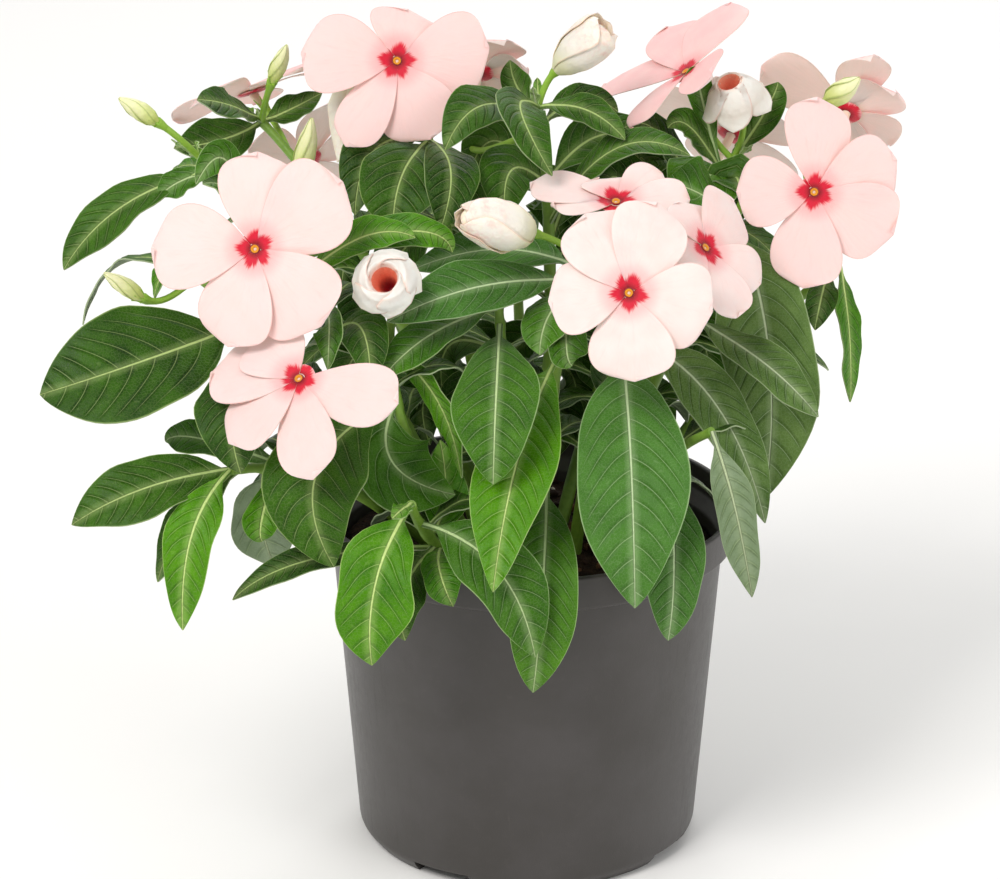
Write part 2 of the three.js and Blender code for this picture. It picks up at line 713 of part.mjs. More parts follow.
// Half the blade's width at a share of the rib: a thin stalk, widest past the middle, a blunt point.
function halfWidth(share, width, stalk) {
  const q = Math.max((share - stalk) / (1 - stalk), 0);
  const swelling = (p) => Math.pow(p, BLADE_SWELL) * Math.pow(1 - p, BLADE_TAPER);
  const widest = swelling(BLADE_SWELL / (BLADE_SWELL + BLADE_TAPER));
  const least = share < 0.5 ? PETIOLE_HALF_WIDTH : BLADE_TIP_HALF_WIDTH;
  return Math.max(((width / 2) * swelling(q)) / widest, least);
}

function leafSolid(stemName, { at: foot, middle, tip, width, faces, stalk = PETIOLE_SHARE }) {
  const rib = new Bow(bows[stemName].point(foot), middle, tip);
  const face = direction(...faces);
  const columns = width > NARROW_BLADE ? [-1, 0, 1] : [-1, 1];
  const rings = BLADE_STATIONS.map((share) => {
    const centre = rib.point(share);
    const along = rib.tangent(share);
    const across = along.clone().cross(face).normalize();
    const up = across.clone().cross(along);
    const half = halfWidth(share, width, stalk);
    const at = (q, offset) => {
      const shift = q < 0 ? BLADE_WAVE_SHIFT : 0;
      const ripple = Math.sin(4 * Math.PI * share + shift) * Math.sin(Math.PI * share);
      const rise = half * (BLADE_KEEL * Math.abs(q) - BLADE_CURL * q * q) + BLADE_WAVE * q * q * ripple;
      return centre.clone().addScaledVector(across, half * q).addScaledVector(up, rise + offset);
    };
    const above = columns.map((q) => at(q, BLADE_THICKNESS / 2));
    const below = columns.toReversed().map((q) => at(q, -BLADE_THICKNESS / 2));
    return [...above, ...below];
  });
  return skin(rings);
}

// The leaves of a fan, each arching out from the stem and over.
function fanLeaves(name) {
  const { fan = [] } = STEMS[name];
  return fan.map(([at, azimuth, length]) => {
    const reached = ([out, up]) => {
      const spot = bows[name].point(at).addScaledVector(direction(azimuth, 0), out * length);
      return spot.setZ(spot.z + up * length);
    };
    const faces = [azimuth, FAN_RISE_DEG];
    return { at, middle: reached(FAN_MIDDLE), tip: reached(FAN_TIP), width: length * FAN_WIDTH, faces };
  });
}

// Blooms and buds

// The directions of a bloom: the way it looks, and right and up as seen from its front.
function bloomFrame(bloom) {
  const out = direction(...bloom.faces);
  const right = place(0, 0, 1).cross(out).normalize();
  const up = out.clone().cross(right);
  return { out, right, up, throat: bloom.throat.clone() };
}

function calyxOf(bloom) {
  if (bloom.calyx) return bloom.calyx.clone();
  const { out, throat } = bloomFrame(bloom);
  return throat.addScaledVector(out, -TUBE_LENGTH);
}

// Each petal's angle round the throat, as seen from the front, its reach and its width. Where the tips are
// given, they lie in the plane of the throat, where the view shows them. Else the petals make an even star.
function petalsOf(bloom) {
  if (!bloom.tips) {
    return [0, 1, 2, 3, 4].map((k) => ({ angle: 18 + 72 * k, reach: STAR_REACH, width: STAR_WIDTH }));
  }
  const { out, right, up, throat } = bloomFrame(bloom);
  const eye = place(...VIEW_EYE);
  const petals = bloom.tips.map(([across, down, width]) => {
    const sight = sightLine(across, down);
    const far = throat.clone().sub(eye).dot(out) / sight.dot(out);
    const spoke = eye.clone().addScaledVector(sight, far).sub(throat);
    const angle = THREE.MathUtils.radToDeg(Math.atan2(spoke.dot(up), spoke.dot(right)));
    return { angle, reach: spoke.length(), width };
  });
  return petals.sort((a, b) => a.angle - b.angle);
}

// The five petals as one thin lobed sheet round the throat. One edge of each stands over its neighbour's.
function limbSolid(bloom) {
  const { out, right, up, throat } = bloomFrame(bloom);
  const petals = petalsOf(bloom);
  const rim = petals.flatMap(({ angle, reach, width }, k) => {
    const next = petals[(k + 1) % petals.length];
    const before = (petals.at(k - 1).angle - angle - 360) % 360;
    const after = (next.angle - angle + 360) % 360;
    const lobe = PETAL_OUTLINE.map(([along, aside]) => {
      const turn = THREE.MathUtils.radToDeg(Math.atan2((aside * width) / 2, along * reach));
      const room = aside < 0 ? before / 2 + PETAL_PARTING_DEG : after / 2 - PETAL_PARTING_DEG;
      const kept = aside < 0 ? Math.max(turn, room) : Math.min(turn, room);
      const far = Math.hypot(along * reach, (aside * width) / 2);
      return { turn: angle + kept, far, lift: PETAL_CUP + PETAL_LEAN * aside };
    });
    const notch = Math.min(reach, next.reach) * PETAL_NOTCH_SHARE;
    return [...lobe, { turn: angle + after / 2, far: notch, lift: PETAL_CUP / 2 }];
  });
  const at = (turn, far, rise) => {
    const angle = THREE.MathUtils.degToRad(turn);
    return throat
      .clone()
      .addScaledVector(right, far * Math.cos(angle))
      .addScaledVector(up, far * Math.sin(angle))
      .addScaledVector(out, rise);
  };
  const half = PETAL_THICKNESS / 2;
  const rings = [
    rim.map(({ turn }) => at(turn, THROAT_RADIUS, -half)),
    rim.map(({ turn, far, lift }) => at(turn, far, lift - half)),
    rim.map(({ turn, far, lift }) => at(turn, far, lift + half)),
    rim.map(({ turn }) => at(turn, THROAT_RADIUS, half)),
  ];
  return skin(rings);
}

// The slim tube from the calyx up to the throat, flared at the mouth.
function tubeSolid(bloom) {
  const { out, right, throat } = bloomFrame(bloom);
  const calyx = calyxOf(bloom);
  const axis = throat.clone().sub(calyx).normalize();
  const rings = TUBE_STATIONS.map(([share, radius]) => {
    const facing = axis.clone().lerp(out, share).normalize();
    return ringAcross(calyx.clone().lerp(throat, share), facing, right, TUBE_SIDES, () => radius);
  });
  return skin(rings);
}

const bloomSolid = (bloom) => tubeSolid(bloom).add(limbSolid(bloom));

function budSolid({ base, tip, width, kind }) {
  const span = tip.clone().sub(base);
  const axis = span.clone().normalize();
  const rings = BUD_PROFILES[kind].map(([share, swell]) => {
    const centre = base.clone().addScaledVector(span, share);
    const radiusAt = (k) => (width / 2) * swell * (k % 2 ? BUD_FURROW : 1);
    return ringAcross(centre, axis, besideOf(axis), BUD_SIDES, radiusAt, BUD_TWIST * share);
  });
  return skin(rings);
}

// The green stalk from a stem to a bloom's calyx or a bud. It swells, and ends just short of what it carries.
function stalkSolid(on, at, end, axis) {
  const stop = end.clone().addScaledVector(axis, -SEAT_GAP);
  const start = bows[on].point(at);
  const pull = stop.clone().addScaledVector(axis, -STALK_PULL * start.distanceTo(stop));
  const middle = start.clone().add(stop).addScaledVector(pull, 2).divideScalar(4);
  const bow = new Bow(start, middle, stop);
  return tube(bow, 0, 1, STALK_RADIUS, CALYX_RADIUS, STALK_STEPS, STEM_SIDES);
}

// Everything that is one leafy stem: the stem, its leaves, and the stalks of its blooms and buds.
function stemPieces(name) {
  const leaves = [...(LEAVES[name] ?? []), ...fanLeaves(name)];
  const bloomStalks = BLOOMS.filter(({ on }) => on === name).map((bloom) => {
    const calyx = calyxOf(bloom);
    return stalkSolid(name, bloom.at, calyx, bloom.throat.clone().sub(calyx).normalize());
  });
  const budStalks = BUDS.filter(({ on }) => on === name).map(({ at, base, tip }) => {
    return stalkSolid(name, at, base, tip.clone().sub(base).normalize());
  });
  return [stemSolid(name), ...leaves.map((leaf) => leafSolid(name, leaf)), ...bloomStalks, ...budStalks];
}

// The assembly

const plant = new THREE.Group();

function addPiece(name, solid, { color, roughness }) {
  const material = new THREE.MeshStandardMaterial({ color, roughness, metalness: 0 });
  const mesh = new THREE.Mesh(geometryOf(solid), material);
  mesh.name = name;
  plant.add(mesh);
}

addPiece("pot", potSolid(), POT_LOOK);
addPiece("soil", soilSolid(Object.keys(STEMS).map(stemHole)), SOIL_LOOK);
for (const name of Object.keys(STEMS)) addPiece("stem_" + name, joined(stemPieces(name)), LEAF_LOOK);
for (const bloom of BLOOMS) addPiece(bloom.name, bloomSolid(bloom), PETAL_LOOK);
for (const bud of BUDS) addPiece(bud.name, budSolid(bud), BUD_LOOKS[bud.kind] ?? PALE_BUD_LOOK);

export default plant;
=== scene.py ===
"""A potted Madagascar periwinkle: blush flowers with a crimson eye on leafy stems, in a dark nursery pot.

Lengths in the tables are millimetres, and the pieces are built in metres. +Z is up and +Y is behind."""

import math
import random

import bmesh
import bpy
from mathutils import Matrix, Vector, noise


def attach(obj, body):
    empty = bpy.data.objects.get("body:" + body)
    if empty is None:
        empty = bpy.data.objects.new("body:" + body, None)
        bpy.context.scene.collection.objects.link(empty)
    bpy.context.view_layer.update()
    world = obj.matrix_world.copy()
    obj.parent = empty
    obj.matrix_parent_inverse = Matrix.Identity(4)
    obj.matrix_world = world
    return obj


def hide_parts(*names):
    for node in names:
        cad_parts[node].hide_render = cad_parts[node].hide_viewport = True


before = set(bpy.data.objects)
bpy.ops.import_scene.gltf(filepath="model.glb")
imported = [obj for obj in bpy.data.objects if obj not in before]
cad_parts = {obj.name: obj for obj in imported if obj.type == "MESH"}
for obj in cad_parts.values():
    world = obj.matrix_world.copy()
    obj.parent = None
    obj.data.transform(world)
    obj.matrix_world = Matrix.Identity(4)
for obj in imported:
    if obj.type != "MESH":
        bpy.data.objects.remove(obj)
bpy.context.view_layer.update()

MM = 0.001
BOW_STEPS = 16

# Pot: a thermoformed nursery pot with a banded rim and four drainage notches. Radii are outer ones.
POT_HEIGHT = 101
POT_SIDES = 144
RIM_RADIUS = 60
RIM_BAND = 10
RIM_LIP = 1.8
NECK_RADIUS = 56.4
NECK_SPLAY = 2
WALL = 1.6
WALL_FOOT_RADIUS = 49
WALL_SLOPE = (NECK_RADIUS - WALL_FOOT_RADIUS) / (POT_HEIGHT - RIM_BAND)
FOOT_RADIUS = 46.5
FOOT_BEND = 3.5
NOTCH_HEIGHT = 3.8
NOTCH_WIDTH = 18
NOTCH_INNER_RADIUS = 30
FIRST_NOTCH_DEG = -121
NOTCH_COUNT = 4
DRAIN_RADIUS = 4.5
DRAIN_CENTRE_RADIUS = 37
DRAIN_SIDES = 32
BOSS_BACK = 3.5
# The corners of the pot's profile that are rounded, each with its radius.
POT_ROUNDINGS = {1: 2, 2: 1, 3: 1, 4: 0.7, 5: 0.8, 6: 1.3, 7: 0.8, 8: 1.5, 9: 0.8}
POT_SMOOTH_DEG = 32
CORNER_STEPS = 4

# Soil: its level in the pot, the room it leaves to the wall, and the crumbs that lie on it, by their radius.
SOIL_LEVEL = 88
SOIL_EDGE_DROP = 1.5
SOIL_ROOM = 0.45
SOIL_FLOOR_GAP = 0.3
SOIL_SIDES = 96
SOIL_RINGS = [51, 47, 42, 37, 32, 27, 22, 17, 12, 7, 3]
CRUMB_COUNT = 260
CRUMB_RADIUS = (0.7, 2.1)
CRUMB_SIDES = 8
CRUMB_LEVELS = (-0.96, -0.7, -0.2, 0.35, 0.75, 0.97)
CRUMB_SQUASH = (0.55, 0.9)
CRUMB_KNOBS = (0.75, 1.2)
CRUMB_SPREAD = 0.98
CRUMB_RISE = 0.2
SOIL_SMOOTH_DEG = 70

# Stems, each thicker where a leaf grows, and the stalks of the blooms and buds. Freshness is how bright the
# green is, from 0 to 1.
STEM_ROOT_RADIUS = 2.0
STEM_TIP_RADIUS = 1.2
STEM_SIDES = 12
STEM_STEPS = 36
NODE_SWELL = 0.28
NODE_SPREAD = 2.2
STALK_RADIUS = 0.95
STALK_STEPS = 10
STALK_PULL = 0.4
CALYX_RADIUS = 1.6
CALYX_FROM = 0.75
STEM_FRESHNESS = 0.15
STALK_FRESHNESS = 0.8
SEPAL_FRESHNESS = 1

# Sepals: their length and the spread of it, and how each stands on the calyx and curves out.
SEPAL_LENGTH = 5
SEPAL_COUNT = 5
SEPAL_REACH = (0.75, 1.1)
SEPAL_JITTER = 0.2
SEPAL_SEAT = 0.7
SEPAL_SINK = 0.3
SEPAL_BELLY = 0.35
SEPAL_SPREAD = 1.3
SEPAL_RADII = (0.55, 0.12)
SEPAL_STEPS = 5
SEPAL_SIDES = 6

# Leaf blades: stations along the rib, crowded towards the tip, and columns across it, in half widths. The
# stalk is round, and the blade begins where the onset says: at a share of the stalk, over a share of the rib.
BLADE_STATIONS = 24
BLADE_CROWDING = 1.25
BLADE_COLUMNS = [-1, -0.86, -0.62, -0.36, -0.13, 0, 0.13, 0.36, 0.62, 0.86, 1]
BLADE_ONSET = (0.6, 0.16)
BLADE_THICKNESS = 0.4
BLADE_SWELL = 0.8
BLADE_TAPER = 0.84
BLADE_TIP_HALF_WIDTH = 0.12
PETIOLE_SHARE = 0.1
PETIOLE_HALF_WIDTH = 0.9
PETIOLE_THICKNESS = 1.5
PETIOLE_ROUNDNESS = 0.95
RIB_HEIGHT = 0.5
RIB_SPREAD = 0.9

# How a blade is keeled along its rib, how its margin waves and ripples, and how uneven its outline is.
BLADE_KEEL = 0.22
BLADE_CURL = 0.1
KEEL_ROUNDING = 0.004
BLADE_WAVE = 0.6
BLADE_WAVE_TURNS = 4
BLADE_WAVE_SHIFT = 2.1
MARGIN_RIPPLE = 0.5
MARGIN_RIPPLES = 9
RIPPLE_SHIFT = 3
MARGIN_UNEVEN = {"deep": 0.05, "bright": 0.1, "fresh": 0.06, "bluish": 0.06, "greyish": 0.08}
UNEVEN_TURNS = 11
UNEVEN_SHIFT = 2

# Veins: how far apart they leave the midrib, how steeply, and how much they arch.
VEIN_SPACING = 2.8
VEIN_SLOPE = 0.5
VEIN_ARCH = 1.9

# The stems that end in a tuft of young leaves, and how those stand: along the stem and out, in leaf lengths.
TUFTED = (
    "upper_left", "back_left", "top_right", "top_centre", "top_left", "right_up",
    "back_1", "back_2", "back_3",
)
TUFT_LENGTH = (6, 9)
TUFT_WIDTH = 0.34
TUFT_STALK = 0.12
TUFT_SINK = 0.5
TUFT_RISE_DEG = 15
TUFT_FACE_DEG = 40
TUFT_MIDDLE = (0.4, 0.25)
TUFT_TIP = (0.8, 0.42)

# Leaves by a rule, out and up in leaf lengths: the ribs of fans, and the pairs at the nodes of a stem.
FAN_RIB = ((0.46, 0.2), (0.9, 0.02))
FAN_WIDTH = 0.36
FAN_RISE_DEG = 70
SIDE_NODES = (0.34, 0.52, 0.7)
SIDE_LENGTH = (24, 33)
SIDE_WIDTH = 0.38
SIDE_FRONT = -0.15
SIDE_JITTER_DEG = 15
SIDE_MIDDLE = (0.48, 0.2)
SIDE_REACH = 0.92
SIDE_DROP = (0, 0.25)

# Blooms: the tube, the ring round its mouth and the disc behind it, each as pairs along its profile.
TUBE_LENGTH = 22
TUBE_STATIONS = [(0, 1.2), (0.3, 1.0), (0.62, 1.1), (0.84, 1.45), (0.95, 1.3), (1, 1.7)]
TUBE_SIDES = 14
EYE_PROFILE = [(1.3, -0.5), (1.5, 0.05), (1.3, 0.4), (0.9, 0.5), (0.5, 0.3), (0.3, -0.4), (0.2, -1)]
EYE_SIDES = 20
COLLAR_PROFILE = [(1.2, -0.7), (4.6, -0.25), (4.7, -0.1), (1.2, -0.1)]
STAR_EYE_RADIUS = 5.3

# Petals: stations along them and columns across, in half widths, and the even star of a hidden bloom.
PETAL_STATIONS = 18
PETAL_COLUMNS = [-1, -0.84, -0.6, -0.34, -0.12, 0.12, 0.34, 0.6, 0.84, 1]
PETAL_THICKNESS = 0.3
PETAL_THINNING = 0.5
PETAL_ROOT = 1.1
PETAL_ROOT_SHARE = 0.6
PETAL_LEAST = 0.15
PETAL_WIDEST = 0.68
PETAL_FLANK = 1.75
PETAL_ROUNDNESS = 2.5
PETAL_SPREAD = 1.08
STAR_START_DEG = 18
STAR_REACH = 26
STAR_WIDTH = 19

# How a petal is cupped, leans over the next one, is skewed, droops and waves.
PETAL_CUP = 1.5
PETAL_CUP_TURN = 0.75
PETAL_LEAN = 1.1
PETAL_LEAN_ONSET = 1.8
PETAL_SKEW = (0.02, 0.09)
PETAL_DROOP = (-0.4, 1.6)
PETAL_WAVE = 0.55
PETAL_WAVE_TURNS = (5, 2.5)
PETAL_END_ARCH = 0.05
PETAL_EDGE_FALL = 0.05

# Buds: how each kind swells along its length, in shares of the length and of half the width.
BUD_PROFILES = {
    "closed": [(0, 0.4), (0.18, 0.85), (0.42, 1), (0.68, 0.8), (0.88, 0.42), (1, 0.12)],
    "plump": [(0, 0.25), (0.14, 0.6), (0.4, 0.92), (0.66, 1), (0.86, 0.96), (1, 0.68)],
    "opening": [(0, 0.22), (0.1, 0.66), (0.35, 1), (0.62, 0.96), (0.86, 0.72), (1, 0.42)],
    "spent": [(0, 0.14), (0.2, 0.7), (0.38, 1), (0.6, 0.8), (0.82, 0.5), (1, 0.3)],
}
BUD_CORES = {
    "closed": [(0.02, 0.3), (0.2, 0.7), (0.42, 0.85), (0.68, 0.66), (0.9, 0.28), (0.97, 0.1)],
    "plump": [(0.02, 0.2), (0.14, 0.5), (0.4, 0.78), (0.66, 0.84), (0.84, 0.6), (0.93, 0.2)],
    "opening": [(0.02, 0.18), (0.12, 0.56), (0.35, 0.82), (0.62, 0.78), (0.86, 0.52), (0.95, 0.2)],
    "half_open": [
        (0, 0.14), (0.25, 0.15), (0.45, 0.24), (0.7, 0.4), (0.9, 0.46),
        (0.97, 0.46), (0.9, 0.41), (0.6, 0.26), (0.45, 0.06),
    ],
    "reflexed": [
        (0, 0.14), (0.25, 0.2), (0.5, 0.34), (0.75, 0.42), (0.92, 0.39),
        (1, 0.36), (0.92, 0.31), (0.7, 0.24), (0.5, 0.06),
    ],
    "spent": [(0.02, 0.12), (0.2, 0.5), (0.38, 0.72), (0.6, 0.56), (0.82, 0.3), (0.93, 0.1)],
}
BUD_WRAPS = {"closed": 150, "plump": 165, "opening": 175, "spent": 150}
BUD_SPIRALS = {"closed": 95, "plump": 60, "opening": 75, "spent": 40}
BUD_LAYERS = {"closed": 0.13, "plump": 0.12, "opening": 0.13, "spent": 0.16}
BUD_SHOULDER = 0.72
BUD_TIP_LEAST = 0.01
FLARE_LIFT = 0.45
FLARE_INSET = 0.06
BUD_STATIONS = 16
BUD_TURNS = 14
BUD_PETAL_THICKNESS = 0.22
BUD_SEPAL_LENGTH = 3.5
# How a petal of a half-open bud leaves the mouth: its distance out, its height and its breadth along the way.
FLARES = {
    "half_open": {
        "out": [(0, 0.42), (0.4, 0.68), (0.75, 0.9), (1, 1.04)],
        "height": [(0, 0.9), (0.15, 1), (0.5, 0.99), (0.8, 0.9), (1, 0.78)],
        "breadth": [(0, 1), (0.45, 0.86), (0.75, 0.52), (0.9, 0.26), (1, 0.05)],
        "wrap": 205,
        "spiral": 165,
        "lean": 1.2,
    },
    "reflexed": {
        "out": [(0, 0.34), (0.2, 0.5), (0.55, 0.84), (1, 1.1)],
        "height": [(0, 0.92), (0.12, 1), (0.4, 0.82), (0.7, 0.56), (1, 0.34)],
        "breadth": [(0, 1), (0.3, 0.74), (0.75, 0.6), (0.92, 0.42), (1, 0.12)],
        "wrap": 122,
        "spiral": 34,
        "lean": 0.5,
    },
}
CUP_RIM = 5

# Floor and lights: each light's place, width, power and tint.
FLOOR_SIZE = 12000
WORLD_STRENGTH = 0.55
LIGHT_TARGET = Vector((0, 0, 120))
LIGHTS = [
    ("key", (-800, -1100, 1500), 800, 25, (1, 0.98, 0.96)),
    ("fill", (1200, -900, 700), 1000, 7, (1, 1, 1)),
    ("rim", (200, 1200, 1300), 900, 9, (1, 1, 1)),
]

# The view: the eye, how far it looks down, and its frame of 1000 by 879.
VIEW_EYE = Vector((-7.93, -1123.7, 540.9))
VIEW_TILT = math.radians(20.54)
VIEW_FOCAL = 4188
VIEW_CENTRE = (500, 439.5)
VIEW_WIDTH = 1000


def place(x, y, z):
    return Vector((x, y, z))


def sight_line(across, down):
    """The way that the eye looks to a point of the view's frame."""
    right = (across - VIEW_CENTRE[0]) / VIEW_FOCAL
    up = (VIEW_CENTRE[1] - down) / VIEW_FOCAL
    forward = math.cos(VIEW_TILT) + up * math.sin(VIEW_TILT)
    return Vector((right, forward, up * math.cos(VIEW_TILT) - math.sin(VIEW_TILT)))


def seen(across, down, depth):
    """The place that the view shows at a point of its frame, and that lies at a given depth Y."""
    sight = sight_line(across, down)
    return VIEW_EYE + sight * ((depth - VIEW_EYE.y) / sight.y)


# Stems: the root of each, the middle of its arc and its tip.
STEMS = {
    "upper_left": (place(-15, 3, 84), seen(338, 322, -4), seen(200, 158, 6)),
    "back_left": (place(-9, 12, 84), seen(390, 300, 26), seen(262, 122, 46)),
    "left": (place(-17, -5, 84), seen(372, 372, -26), seen(258, 262, -14)),
    "outer_left": (place(-23, -3, 84), seen(330, 402, -24), seen(196, 276, -16)),
    "low_left": (place(-20, -12, 84), seen(345, 488, -34), seen(230, 470, -52)),
    "front_left": (place(-10, -20, 84), seen(440, 548, -44), seen(411, 505, -66)),
    "mid_left": (place(-12, -11, 84), seen(408, 440, -40), seen(392, 315, -26)),
    "centre_left": (place(-3, 2, 84), seen(506, 400, -12), seen(498, 300, -16)),
    "centre": (place(3, -6, 84), seen(552, 400, -20), seen(580, 255, -14)),
    "right_front": (place(13, -8, 84), seen(600, 415, -18), seen(640, 312, -14)),
    "low_right": (place(22, -8, 84), seen(650, 478, -30), seen(712, 432, -48)),
    "right": (place(19, 0, 84), seen(655, 380, 0), seen(705, 290, -2)),
    "right_up": (place(15, 8, 84), seen(655, 360, 22), seen(742, 205, 16)),
    "far_right": (place(21, 9, 84), seen(735, 370, 22), seen(838, 262, 20)),
    "top_right": (place(9, 12, 84), seen(628, 320, 30), seen(733, 160, 40)),
    "top_centre": (place(2, 9, 84), seen(550, 310, 22), seen(538, 108, 24)),
    "top_left": (place(-6, 8, 84), seen(462, 310, 20), seen(425, 125, 24)),
    "back_1": (place(-14, 16, 84), place(-34, 44, 132), place(-56, 66, 164)),
    "back_2": (place(0, 21, 84), place(-2, 54, 132), place(-4, 86, 162)),
    "back_3": (place(14, 17, 84), place(34, 46, 132), place(54, 70, 166)),
}

# Fans: leaves by a rule, each with its place along the stem, the way it points (azimuth) and its length.
FANS = {
    "back_1": [(0.5, 215, 44), (0.55, 130, 50), (0.85, 75, 34), (0.87, 225, 40), (0.95, 180, 42)],
    "back_2": [(0.5, 165, 44), (0.52, 15, 44), (0.7, 95, 52), (0.9, 190, 38), (0.92, -5, 38), (1, 90, 42)],
    "back_3": [(0.5, -30, 44), (0.55, 55, 50), (0.85, 108, 34), (0.87, -45, 40), (0.95, 0, 42)],
}

